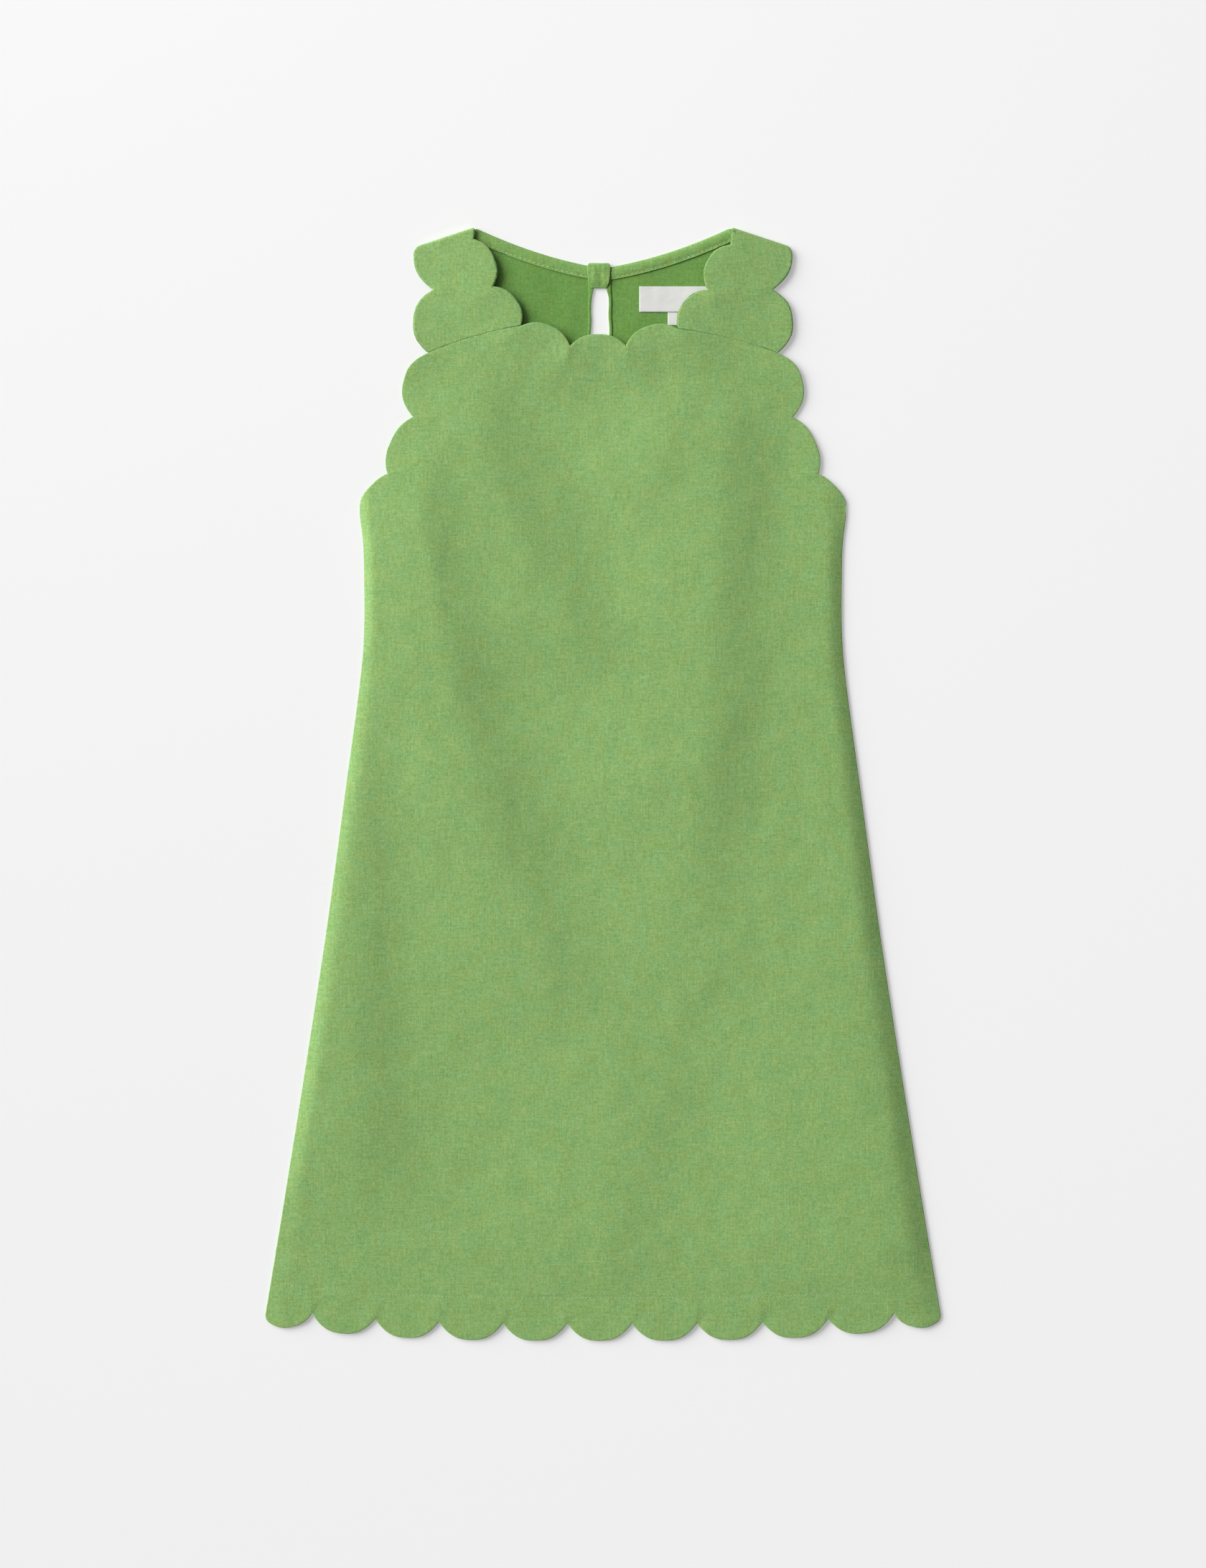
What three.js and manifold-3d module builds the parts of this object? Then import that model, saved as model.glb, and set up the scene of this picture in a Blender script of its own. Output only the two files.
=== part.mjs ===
// A sleeveless shift dress laid out flat: a straight front, a back whose shoulders fold over to
// the front, scalloped neckline, armholes and hem, a keyhole at the back neck closed by a
// tab, a turned-in neck binding and two blank labels. Millimetres, +X to the right of the
// front, +Y towards the neck, +Z up from the surface that the back lies on. The origin is
// below the middle of the dress, on that surface.
//
// Each panel is cut from a wall of cloth by the prism of its pattern piece, as cloth is cut by
// a die. The front's wall is curved first, to heights worked out from a table of folds.
import * as THREE from "three";
import { mergeVertices } from "three/addons/utils/BufferGeometryUtils.js";
import Module from "manifold-3d";

const wasm = await Module();
wasm.setup();

// ---- driving dimensions -------------------------------------------------------------------
const CLOTH = 1.2; // thickness of a panel's wall, with its facing
const TRIM = 1.0; // thickness of bindings, tab and labels
const GAP = 0.3; // between pieces that are sewn together or lie on each other
const HALF_LENGTH = 480; // from the middle to the neck end of a shoulder, and to the hem
const UNDER = 0.6; // how far the back's edges lie inside the front's
const SCALLOP_STEPS = 8; // straight steps round one scallop
const SCALLOP_POWER = 2.2; // 2 is a parabola, more is squarer

// Half width at the side, from the underarm to the hem corner.
const SIDE = table(
  ["y", "half"],
  [243.5, 209.4],
  [231, 209.4],
  [208, 206.7],
  [180, 205.8],
  [131, 205.9],
  [87, 209.5],
  [-5, 221.9],
  [-129, 238.8],
  [-253, 257.8],
  [-377, 277.5],
  [-458, 290.4],
);

// Right armhole, from a notch that the shoulder fold hides down to the underarm. Each row is
// a notch between two scallops, and how far the scallop below it stands out.
const ARMHOLE = table(
  ["x", "y", "bulge"],
  [146.2, 487, 17],
  [146.2, 426.1, 15.2],
  [150.5, 371.6, 15.3],
  [163.7, 316.2, 8.9],
  [185.8, 267.2, 2.9],
  [209.4, 243.5, 0],
);
const ARM_SEAM = 2; // the armhole notch where the forward shoulder seam ends

// Front neckline, from the left shoulder to the right one, in the same way.
const NECKLINE = table(
  ["x", "y", "bulge"],
  [-111.6, 469.6, 11.6],
  [-95, 428.2, 9.9],
  [-70.6, 394.5, 9.6],
  [-28.4, 377.2, 10],
  [19.7, 377.5, 10.2],
  [64.3, 391.8, 9.6],
  [90.1, 425.5, 12],
  [109.9, 464.4, 0],
);
const NECK_SEAM = { left: 2, right: 5 }; // the neckline notches where the shoulder seams end

// Hem: its notches lie on a line that rises towards the side seams. The middle ones lie a
// little to the left, and a part scallop at each end runs out to the side seam.
const HEM = { scallops: 9, half: 250.8, low: -465, rise: 8.8, power: 3.3, bulge: 15, drift: -2.9 };
const HEM_END = { drop: 2.4, bulge: 13.4, corner: 5 };

// Shoulder fold, from its neck end to its armhole end.
const SHOULDER = { neckX: 111, armX: 163.1, armY: 462.9 };
const FOLD_ROOM = 1.9; // clear height inside the shoulder fold
const FOLD_LEG = 4; // how far the folded strip runs on into each layer
const FOLD_END = 0.4; // the folded strip stops this far inside the panel's edges
const SEAM_BOW = 3.6; // the forward shoulder seam bows upwards by this much

const BACK_NECK = { low: 445, half: 111, straight: 0.54 };
const BINDING = { width: 10.5, inset: 0.4, end: 105.5 };
const KEYHOLE = { x: -2.6, top: 14, foot: 17, depth: 85, rim: 2.4 };
const TAB = { left: -13.8, right: 6.7, foot: 427.3, head: 449.2, turn: 1.3 };
const LABEL = { left: 30.2, right: 95.9, foot: 407.2, head: 430.1 };
const SIZE_TAG = { left: 55, right: 71, drop: 10.8 };

// ---- how the front lies on the back ---------------------------------------------------------
const ON_BACK = CLOTH + GAP; // height of what lies on the back
const REST_LIFT = 0.25; // the front is lifted this much between its folds
const MOST_LIFT = 3.6; // the most that the front is lifted
const NECK_LIFT = FOLD_ROOM - GAP; // the lift at the neckline and the forward shoulder seams
const NECK_LIFT_FROM = { y: 318, over: 38 }; // where it comes in, upwards
const EDGE_ROLL = 11; // width of the rounded side edge

// Soft folds that run down from the shoulders: a ridge through three places, its half width and
// height at the top and at the foot, and the length over which its ends fade.
const FOLDS = table(
  ["name", "top", "mid", "foot", "wide", "high", "fade"],
  ["left side", [-192, 150], [-212, -60], [-236, -440], [12, 36], [1.2, 2.4], 150],
  ["left outer", [-158, 280], [-128, 40], [-66, -330], [24, 32], [1.9, 2.3], 150],
  ["left inner", [-132, 372], [-66, 195], [4, -20], [23, 23], [2.2, 2.0], 100],
  ["chest", [-14, 378], [-16, 320], [-20, 240], [22, 24], [0.9, 0.9], 70],
  ["right inner", [106, 372], [92, 130], [50, -110], [24, 26], [1.9, 2.6], 110],
  ["right outer", [170, 255], [186, -40], [206, -440], [20, 46], [1.6, 2.9], 120],
  ["centre hem", [26, -190], [-20, -320], [-36, -450], [30, 30], [1.6, 1.8], 100],
);
const COLUMNS = 38;
const ROWS = 31;

// ---- small helpers ----------------------------------------------------------------------------
const { lerp, smoothstep } = THREE.MathUtils;
const point = (x, y) => new THREE.Vector2(x, y);
const mirrored = (points) => points.map((p) => point(-p.x, p.y)).reverse();

// Rows of values as objects with named columns.
function table(columns, ...rows) {
  return rows.map((row) => Object.fromEntries(columns.map((column, i) => [column, row[i]])));
}

// One scallop from a to b, standing out to the right of the way from a to b. It leaves out b.
function scallop(a, b, bulge) {
  const out = point(b.y - a.y, a.x - b.x).normalize();
  return Array.from({ length: SCALLOP_STEPS }, (_, i) => {
    const t = i / SCALLOP_STEPS;
    const stand = bulge * (1 - Math.abs(2 * t - 1) ** SCALLOP_POWER);
    return point(a.x, a.y).lerp(b, t).addScaledVector(out, stand);
  });
}

// A solid for manifold-3d from a closed geometry.
function solidOf(geometry) {
  const bare = geometry.clone();
  bare.deleteAttribute("normal");
  bare.deleteAttribute("uv");
  const merged = mergeVertices(bare, 1e-4);
  return new wasm.Manifold(
    new wasm.Mesh({
      numProp: 3,
      vertProperties: merged.attributes.position.array,
      triVerts: new Uint32Array(merged.index.array),
    }),
  );
}

// The geometry of a manifold-3d solid.
function geometryOf(solid) {
  const { vertProperties, triVerts } = solid.getMesh();
  return new THREE.BufferGeometry()
    .setAttribute("position", new THREE.BufferAttribute(vertProperties, 3))
    .setIndex(new THREE.BufferAttribute(triVerts, 1));
}

// A flat piece of the given outline, from one height up to another.
function slab(outline, low, high) {
  const settings = { depth: high - low, bevelEnabled: false };
  return new THREE.ExtrudeGeometry(new THREE.Shape(outline), settings).translate(0, 0, low);
}

const box = ({ left, right, foot, head }) => [
  point(left, foot),
  point(right, foot),
  point(right, head),
  point(left, head),
];

// ---- edges that pieces share --------------------------------------------------------------------
// Half width of the front at a height, on straight stretches between the rows of SIDE.
function halfWidth(y) {
  const i = SIDE.findIndex((row) => row.y <= y);
  if (i === 0) return SIDE[0].half;
  if (i < 0) return SIDE.at(-1).half;
  const [above, below] = [SIDE[i - 1], SIDE[i]];
  return lerp(above.half, below.half, (above.y - y) / (above.y - below.y));
}

// The right part scallop of the hem, from its last notch to the hem corner.
function hemEnd(notch, inset) {
  const corner = point(SIDE.at(-1).half - inset - 1.2, SIDE.at(-1).y - HEM_END.corner);
  const pitch = (2 * HEM.half) / HEM.scallops;
  const next = point(notch.x + pitch, notch.y - HEM_END.drop);
  const part = scallop(notch, next, HEM_END.bulge).filter((p) => p.x < corner.x - 1);
  return [...part, corner];
}

// The hem, from the left side seam to the right one.
function hemEdge(inset) {
  const notches = Array.from({ length: HEM.scallops + 1 }, (_, i) => {
    const u = (2 * i) / HEM.scallops - 1;
    const drift = HEM.drift * (1 - u ** 2);
    return point(u * HEM.half + drift, HEM.low + HEM.rise * Math.abs(u) ** HEM.power + inset);
  });
  const whole = notches.slice(0, -1).flatMap((p, i) => scallop(p, notches[i + 1], HEM.bulge));
  const end = hemEnd(notches.at(-1), inset);
  return [...mirrored(end.slice(1)), ...whole, ...end];
}

// The right side, from the hem corner up to the underarm.
const sideEdge = (inset) => SIDE.map((row) => point(row.half - inset, row.y)).reverse();

// The right armhole, from above the underarm up to one of its notches.
function armholeEdge(inset, lastNotch) {
  const notches = ARMHOLE.map((row) => point(row.x - inset, row.y));
  const edge = [];
  for (let i = notches.length - 1; i > lastNotch; i -= 1)
    edge.push(...scallop(notches[i], notches[i - 1], ARMHOLE[i - 1].bulge));
  return [...edge.slice(1), notches[lastNotch]];
}

// The neckline from one of its notches to another, right to left.
function neckEdge(fromNotch, toNotch) {
  const edge = [];
  for (let i = fromNotch; i > toNotch; i -= 1)
    edge.push(...scallop(NECKLINE[i], NECKLINE[i - 1], NECKLINE[i - 1].bulge));
  return [...edge, point(NECKLINE[toNotch].x, NECKLINE[toNotch].y)];
}

// A forward shoulder seam from the armhole to the neckline, on the right side or the left one,
// moved up by so much.
function seamEdge(side, up) {
  const arm = ARMHOLE[ARM_SEAM];
  const neck = NECKLINE[side > 0 ? NECK_SEAM.right : NECK_SEAM.left];
  const a = point(side * arm.x, arm.y + up);
  const b = point(neck.x, neck.y + up);
  const control = a.clone().lerp(b, 0.5).add(point(0, 2 * SEAM_BOW));
  return new THREE.QuadraticBezierCurve(a, control, b).getPoints(6);
}

// The back neck's edge, from one x to another.
function backNeckEdge(from, to, steps) {
  const rise = HALF_LENGTH - BACK_NECK.low;
  return Array.from({ length: steps + 1 }, (_, i) => {
    const x = lerp(from, to, i / steps);
    const t = Math.abs(x) / BACK_NECK.half;
    return point(x, BACK_NECK.low + rise * lerp(t * t, t, BACK_NECK.straight));
  });
}

// The keyhole's edge, moved out by so much: its two sides, and its foot from right to left.
function keyholeEdge(out) {
  const radius = KEYHOLE.foot / 2 + out;
  const y = BACK_NECK.low - KEYHOLE.depth + KEYHOLE.foot / 2;
  const foot = Array.from({ length: 9 }, (_, i) => {
    const turn = (Math.PI * i) / 8;
    return point(KEYHOLE.x + radius * Math.cos(turn), y - radius * Math.sin(turn));
  });
  return { right: KEYHOLE.x + KEYHOLE.top / 2 + out, left: KEYHOLE.x - KEYHOLE.top / 2 - out, foot };
}

// ---- the shoulder fold ----------------------------------------------------------------------------
const FOLD_RADIUS = FOLD_ROOM / 2 + CLOTH;
const FOLD_START = point(SHOULDER.neckX, HALF_LENGTH);
const FOLD_ALONG = point(SHOULDER.armX, SHOULDER.armY).sub(FOLD_START);
const FOLD_LENGTH = FOLD_ALONG.length();
FOLD_ALONG.normalize();
const FOLD_OUT = point(-FOLD_ALONG.y, FOLD_ALONG.x);

// A place on the right shoulder's fold axis, so far from its neck end.
const onFoldAxis = (along) =>
  FOLD_START.clone().addScaledVector(FOLD_OUT, -FOLD_RADIUS).addScaledVector(FOLD_ALONG, along);

// The right armhole above its topmost notch, up to the fold axis.
function shoulderArmEdge(inset) {
  const isBelowAxis = (p) => p.clone().sub(onFoldAxis(0)).dot(FOLD_OUT) < -1;
  const edge = armholeEdge(inset, 0).filter((p) => p.y > ARMHOLE[1].y + 0.1 && isBelowAxis(p));
  return [...edge, onFoldAxis(FOLD_LENGTH - inset)];
}

// The strip that turns from the back's layer up and over into the front's layer. Its profile
// is drawn with x out of the fold and y up.
function foldGeometry(side) {
  const [inner, height] = [FOLD_ROOM / 2, 2 * FOLD_RADIUS];
  const profile = new THREE.Shape();
  profile.moveTo(-FOLD_LEG, 0);
  profile.lineTo(0, 0);
  profile.absarc(0, FOLD_RADIUS, FOLD_RADIUS, -Math.PI / 2, Math.PI / 2, false);
  profile.lineTo(-FOLD_LEG, height);
  profile.lineTo(-FOLD_LEG, height - CLOTH);
  profile.lineTo(0, height - CLOTH);
  profile.absarc(0, FOLD_RADIUS, inner, Math.PI / 2, -Math.PI / 2, true);
  profile.lineTo(-FOLD_LEG, CLOTH);
  const depth = FOLD_LENGTH - 2 * FOLD_END;
  const settings = { depth, bevelEnabled: false, curveSegments: 10 };
  const start = onFoldAxis(side > 0 ? FOLD_END : FOLD_LENGTH - FOLD_END);
  const place = new THREE.Matrix4().makeBasis(
    new THREE.Vector3(side * FOLD_OUT.x, FOLD_OUT.y, 0),
    new THREE.Vector3(0, 0, 1),
    new THREE.Vector3(FOLD_ALONG.x, side * FOLD_ALONG.y, 0),
  );
  place.setPosition(side * start.x, start.y, 0);
  return new THREE.ExtrudeGeometry(profile, settings).applyMatrix4(place);
}

// ---- front ----------------------------------------------------------------------------------------
function frontOutline() {
  const arm = armholeEdge(0, ARM_SEAM).slice(0, -1);
  return [
    ...hemEdge(0),
    ...sideEdge(0),
    ...arm,
    ...seamEdge(1, -GAP / 2),
    ...neckEdge(NECK_SEAM.right, NECK_SEAM.left).slice(1, -1),
    ...seamEdge(-1, -GAP / 2).reverse(),
    ...mirrored(arm),
    ...mirrored(sideEdge(0)),
  ];
}

// Where a fold's ridge lies at a height: the parabola through its three places.
function ridgeX({ top, mid, foot }, y) {
  const [[x0, y0], [x1, y1], [x2, y2]] = [top, mid, foot];
  return (
    (x0 * (y - y1) * (y - y2)) / ((y0 - y1) * (y0 - y2)) +
    (x1 * (y - y0) * (y - y2)) / ((y1 - y0) * (y1 - y2)) +
    (x2 * (y - y0) * (y - y1)) / ((y2 - y0) * (y2 - y1))
  );
}

// The height that one fold adds at a place.
function foldHeight(fold, x, y) {
  const [topY, footY] = [fold.top[1], fold.foot[1]];
  const down = THREE.MathUtils.clamp((topY - y) / (topY - footY), 0, 1);
  const half = fold.fade / 2;
  const fadeIn = 1 - smoothstep(y, topY - half, topY + half);
  const fadeOut = smoothstep(y, footY - half, footY + half);
  const across = (x - ridgeX(fold, y)) / lerp(...fold.wide, down);
  return lerp(...fold.high, down) * fadeIn * fadeOut * Math.exp(-(across ** 2) / 2);
}

// How far the front is lifted at a place. It comes down to rest along its sides.
function lift(x, y) {
  const folds = FOLDS.reduce((sum, fold) => sum + foldHeight(fold, x, y), REST_LIFT);
  const neck = smoothstep(y, NECK_LIFT_FROM.y, NECK_LIFT_FROM.y + NECK_LIFT_FROM.over);
  const high = Math.min(MOST_LIFT, lerp(folds, NECK_LIFT, neck));
  const fromSide = halfWidth(y) - Math.abs(x);
  return y > SIDE[0].y ? high : high * smoothstep(fromSide, 0, EDGE_ROLL);
}

// The triangles of a closed wall over a grid: its underside points come first, then as many
// points of its upper side.
function wallFaces(rows, columns) {
  const faces = [];
  const at = (j, i, layer) => (layer * rows + j) * columns + i;
  const quad = (a, b, c, d) => faces.push(a, b, c, a, c, d);
  const [j1, i1] = [rows - 1, columns - 1];
  for (let j = 0; j < j1; j += 1)
    for (let i = 0; i < i1; i += 1) {
      quad(at(j, i, 1), at(j, i + 1, 1), at(j + 1, i + 1, 1), at(j + 1, i, 1));
      quad(at(j, i, 0), at(j + 1, i, 0), at(j + 1, i + 1, 0), at(j, i + 1, 0));
    }
  for (let i = 0; i < i1; i += 1) {
    quad(at(0, i, 0), at(0, i + 1, 0), at(0, i + 1, 1), at(0, i, 1));
    quad(at(j1, i + 1, 0), at(j1, i, 0), at(j1, i, 1), at(j1, i + 1, 1));
  }
  for (let j = 0; j < j1; j += 1) {
    quad(at(j + 1, 0, 0), at(j, 0, 0), at(j, 0, 1), at(j + 1, 0, 1));
    quad(at(j, i1, 0), at(j + 1, i1, 0), at(j + 1, i1, 1), at(j, i1, 1));
  }
  return faces;
}

// The front's wall before it is cut. Its columns follow the flare of the sides, and lie closer
// together near them.
function frontBlank() {
  const [foot, head] = [-HALF_LENGTH - 3, NECKLINE[NECK_SEAM.left].y + 14];
  const under = [];
  for (let j = 0; j <= ROWS; j += 1) {
    const y = lerp(foot, head, j / ROWS);
    for (let i = 0; i <= COLUMNS; i += 1) {
      const u = (2 * i) / COLUMNS - 1;
      const x = 1.012 * Math.sign(u) * (1 - (1 - Math.abs(u)) ** 1.15) * halfWidth(y);
      under.push(new THREE.Vector3(x, y, ON_BACK + lift(x, y)));
    }
  }
  const over = under.map((p) => p.clone().setZ(p.z + CLOTH));
  const faces = wallFaces(ROWS + 1, COLUMNS + 1);
  return new THREE.BufferGeometry().setFromPoints([...under, ...over]).setIndex(faces);
}

function frontGeometry() {
  const die = slab(frontOutline(), 0, 20);
  return geometryOf(solidOf(frontBlank()).intersect(solidOf(die)));
}

// ---- back -----------------------------------------------------------------------------------------
function backBodyOutline() {
  const hole = keyholeEdge(0);
  const right = [...sideEdge(UNDER), ...armholeEdge(UNDER, 1), ...shoulderArmEdge(UNDER), onFoldAxis(0)];
  const neckX = SHOULDER.neckX - 3;
  return [
    ...hemEdge(UNDER),
    ...right,
    ...backNeckEdge(neckX, hole.right, 8),
    ...hole.foot,
    ...backNeckEdge(hole.left, -neckX, 8),
    ...mirrored(right),
  ];
}

// The part of a shoulder that lies forward over the front, down to the forward shoulder seam.
function flapOutline(side) {
  const belowTopNotch = armholeEdge(0, 1).filter((p) => p.y > ARMHOLE[ARM_SEAM].y + 0.1);
  const arm = [...belowTopNotch, ...shoulderArmEdge(0), onFoldAxis(0)];
  const seam = seamEdge(side, GAP / 2);
  const shoulder = NECKLINE.length - 1;
  if (side > 0) return [...arm, ...neckEdge(shoulder, NECK_SEAM.right).slice(0, -1), ...seam.reverse()];
  return [...mirrored(arm), ...seam, ...neckEdge(NECK_SEAM.left, 0).slice(1)];
}

function backGeometry() {
  const halves = [1, -1].map((side) => {
    const flap = slab(flapOutline(side), 2 * FOLD_RADIUS - CLOTH, 2 * FOLD_RADIUS);
    return solidOf(foldGeometry(side)).add(solidOf(flap));
  });
  const body = solidOf(slab(backBodyOutline(), 0, CLOTH));
  return geometryOf(halves.reduce((made, half) => made.add(half), body));
}

// ---- trims ----------------------------------------------------------------------------------------
const onBack = (outline) => slab(outline, ON_BACK, ON_BACK + TRIM);

// The turned-in binding along one half of the back neck. It ends square at the keyhole.
function neckBindingGeometry(side) {
  const hole = keyholeEdge(KEYHOLE.rim + GAP);
  const neck = backNeckEdge(side > 0 ? hole.right : hole.left, side * BINDING.end, 12);
  const edge = neck.map((p) => point(p.x, p.y - BINDING.inset));
  const lower = edge.map((p, i) => {
    if (i === 0) return point(p.x, p.y - BINDING.width);
    const way = edge[Math.min(i + 1, edge.length - 1)].clone().sub(edge[i - 1]).normalize();
    return point(p.x + side * way.y * BINDING.width, p.y - side * way.x * BINDING.width);
  });
  return onBack(side > 0 ? [...lower, ...edge.reverse()] : [...edge, ...lower.reverse()]);
}

// The narrow binding round the keyhole.
function keyholeBindingGeometry() {
  const outer = keyholeEdge(KEYHOLE.rim);
  const inner = keyholeEdge(0);
  const head = (x) => backNeckEdge(x, x, 1)[0].sub(point(0, BINDING.inset));
  return onBack([
    head(outer.right),
    ...outer.foot,
    head(outer.left),
    head(inner.left),
    ...inner.foot.reverse(),
    head(inner.right),
  ].reverse());
}

// The tab: a plate over both neck bindings, and a narrower loop round the neck's edge, which
// passes through the keyhole. The loop's profile is drawn with x along +Y and y up.
function tabGeometry() {
  const low = ON_BACK + TRIM + GAP;
  const high = low + TRIM;
  const { foot, head, turn } = TAB;
  const profile = new THREE.Shape([
    point(foot + turn, 0),
    point(head - turn, 0),
    point(head, turn),
    point(head, high - turn),
    point(head - turn, high),
    point(foot + turn, high),
    point(foot, high - turn),
    point(foot, turn),
  ]);
  const inside = box({ left: foot + turn, right: head - turn, foot: TRIM, head: low });
  profile.holes.push(new THREE.Path(inside.reverse()));
  const width = KEYHOLE.top - 2 * GAP;
  const loop = new THREE.ExtrudeGeometry(profile, { depth: width, bevelEnabled: false });
  const turned = new THREE.Matrix4().set(0, 0, 1, KEYHOLE.x - width / 2, 1, 0, 0, 0, 0, 1, 0, 0, 0, 0, 0, 1);
  return geometryOf(solidOf(loop.applyMatrix4(turned)).add(solidOf(slab(box(TAB), low, high))));
}

// ---- the dress ------------------------------------------------------------------------------------
const cloth = (color, roughness) => new THREE.MeshStandardMaterial({ color, roughness, metalness: 0 });
const linen = () => cloth(0x89b16b, 0.92);
const linenInside = () => cloth(0x7aa75a, 0.92);
const satin = () => cloth(0xe6e4df, 0.55);

const tagHead = LABEL.foot - GAP;
const sizeTag = { ...SIZE_TAG, foot: tagHead - SIZE_TAG.drop, head: tagHead };
const PIECES = table(
  ["name", "geometry", "material"],
  ["front", frontGeometry(), linen()],
  ["back", backGeometry(), linen()],
  ["neck_binding_left", neckBindingGeometry(-1), linenInside()],
  ["neck_binding_right", neckBindingGeometry(1), linenInside()],
  ["keyhole_binding", keyholeBindingGeometry(), linenInside()],
  ["neck_tab", tabGeometry(), linen()],
  ["label", onBack(box(LABEL)), satin()],
  ["size_tag", onBack(box(sizeTag)), satin()],
);

const dress = new THREE.Group();
for (const { name, geometry, material } of PIECES) {
  const mesh = new THREE.Mesh(geometry, material);
  mesh.name = name;
  dress.add(mesh);
}

export default dress;
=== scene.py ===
"""A sleeveless shift dress in green linen, laid flat on its back.

The edges of the neckline, armholes and hem are scalloped. Each cloth piece is cut flat from its
pattern outline with bmesh, then laid: the front over soft folds, the back with its shoulders
turned over at the shoulder folds. Lengths in tables are millimetres, and finished meshes are in
metres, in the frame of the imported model.
"""

import logging
import math
from collections.abc import Callable, Sequence
from dataclasses import dataclass, field
from enum import Enum
from typing import Any

import bmesh
import bpy
import numpy as np
from mathutils import Matrix, Vector, noise
from mathutils.kdtree import KDTree


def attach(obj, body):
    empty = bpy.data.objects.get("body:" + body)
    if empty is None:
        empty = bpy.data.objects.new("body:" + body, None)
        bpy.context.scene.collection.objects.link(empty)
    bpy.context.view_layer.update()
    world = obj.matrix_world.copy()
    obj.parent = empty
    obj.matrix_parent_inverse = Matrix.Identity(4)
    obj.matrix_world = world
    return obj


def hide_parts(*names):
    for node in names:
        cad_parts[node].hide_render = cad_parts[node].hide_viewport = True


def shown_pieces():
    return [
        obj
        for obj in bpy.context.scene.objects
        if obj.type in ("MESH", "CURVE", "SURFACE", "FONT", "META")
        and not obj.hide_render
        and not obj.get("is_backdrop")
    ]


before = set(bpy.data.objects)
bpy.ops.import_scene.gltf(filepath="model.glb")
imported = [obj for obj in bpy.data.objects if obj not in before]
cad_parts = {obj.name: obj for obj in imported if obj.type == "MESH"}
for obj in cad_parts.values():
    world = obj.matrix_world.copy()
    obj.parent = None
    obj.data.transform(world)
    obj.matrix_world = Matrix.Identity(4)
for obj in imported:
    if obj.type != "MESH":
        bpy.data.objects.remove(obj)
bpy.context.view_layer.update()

LOG = logging.getLogger("dress")
MM = 0.001
Colour = tuple[float, float, float]
Places = tuple[np.ndarray, np.ndarray, np.ndarray]


# ---- shader graphs ---------------------------------------------------------------------------


class Wire:
    """A value that comes out of a shader node and can stand in a Python sum."""

    def __init__(self, graph: "Graph", socket: bpy.types.NodeSocket) -> None:
        """Keeps the graph and the socket."""
        self.graph = graph
        self.socket = socket

    def math(self, operation: str, *others: "Wire | float", last: bool = False) -> "Wire":
        """Adds a Math node.

        Args:
            operation: The node's operation.
            others: Its other operands.
            last: Whether this value comes last.

        Returns:
            The node's result.
        """
        values = [*others, self] if last else [self, *others]
        return self.graph.add("ShaderNodeMath", {"operation": operation}, dict(enumerate(values)))

    def __add__(self, other: "Wire | float") -> "Wire":
        """self + other."""
        return self.math("ADD", other)

    def __radd__(self, other: float) -> "Wire":
        """other + self."""
        return self.math("ADD", other, last=True)

    def __sub__(self, other: "Wire | float") -> "Wire":
        """self - other."""
        return self.math("SUBTRACT", other)

    def __rsub__(self, other: float) -> "Wire":
        """other - self."""
        return self.math("SUBTRACT", other, last=True)

    def __mul__(self, other: "Wire | float") -> "Wire":
        """self * other."""
        return self.math("MULTIPLY", other)

    def __rmul__(self, other: float) -> "Wire":
        """other * self."""
        return self.math("MULTIPLY", other, last=True)

    def __truediv__(self, other: "Wire | float") -> "Wire":
        """self / other."""
        return self.math("DIVIDE", other)

    def __abs__(self) -> "Wire":
        """The size of self."""
        return self.math("ABSOLUTE")

    def sin(self) -> "Wire":
        """The sine of self, in radians."""
        return self.math("SINE")

    def most(self, other: "Wire | float") -> "Wire":
        """The larger of self and other."""
        return self.math("MAXIMUM", other)

    def step(self, low: float, high: float) -> "Wire":
        """A value that goes smoothly from 0 at low to 1 at high."""
        settings = {"interpolation_type": "SMOOTHSTEP"}
        ends = {"Value": self, "From Min": low, "From Max": high}
        return self.graph.add("ShaderNodeMapRange", settings, ends)


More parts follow.
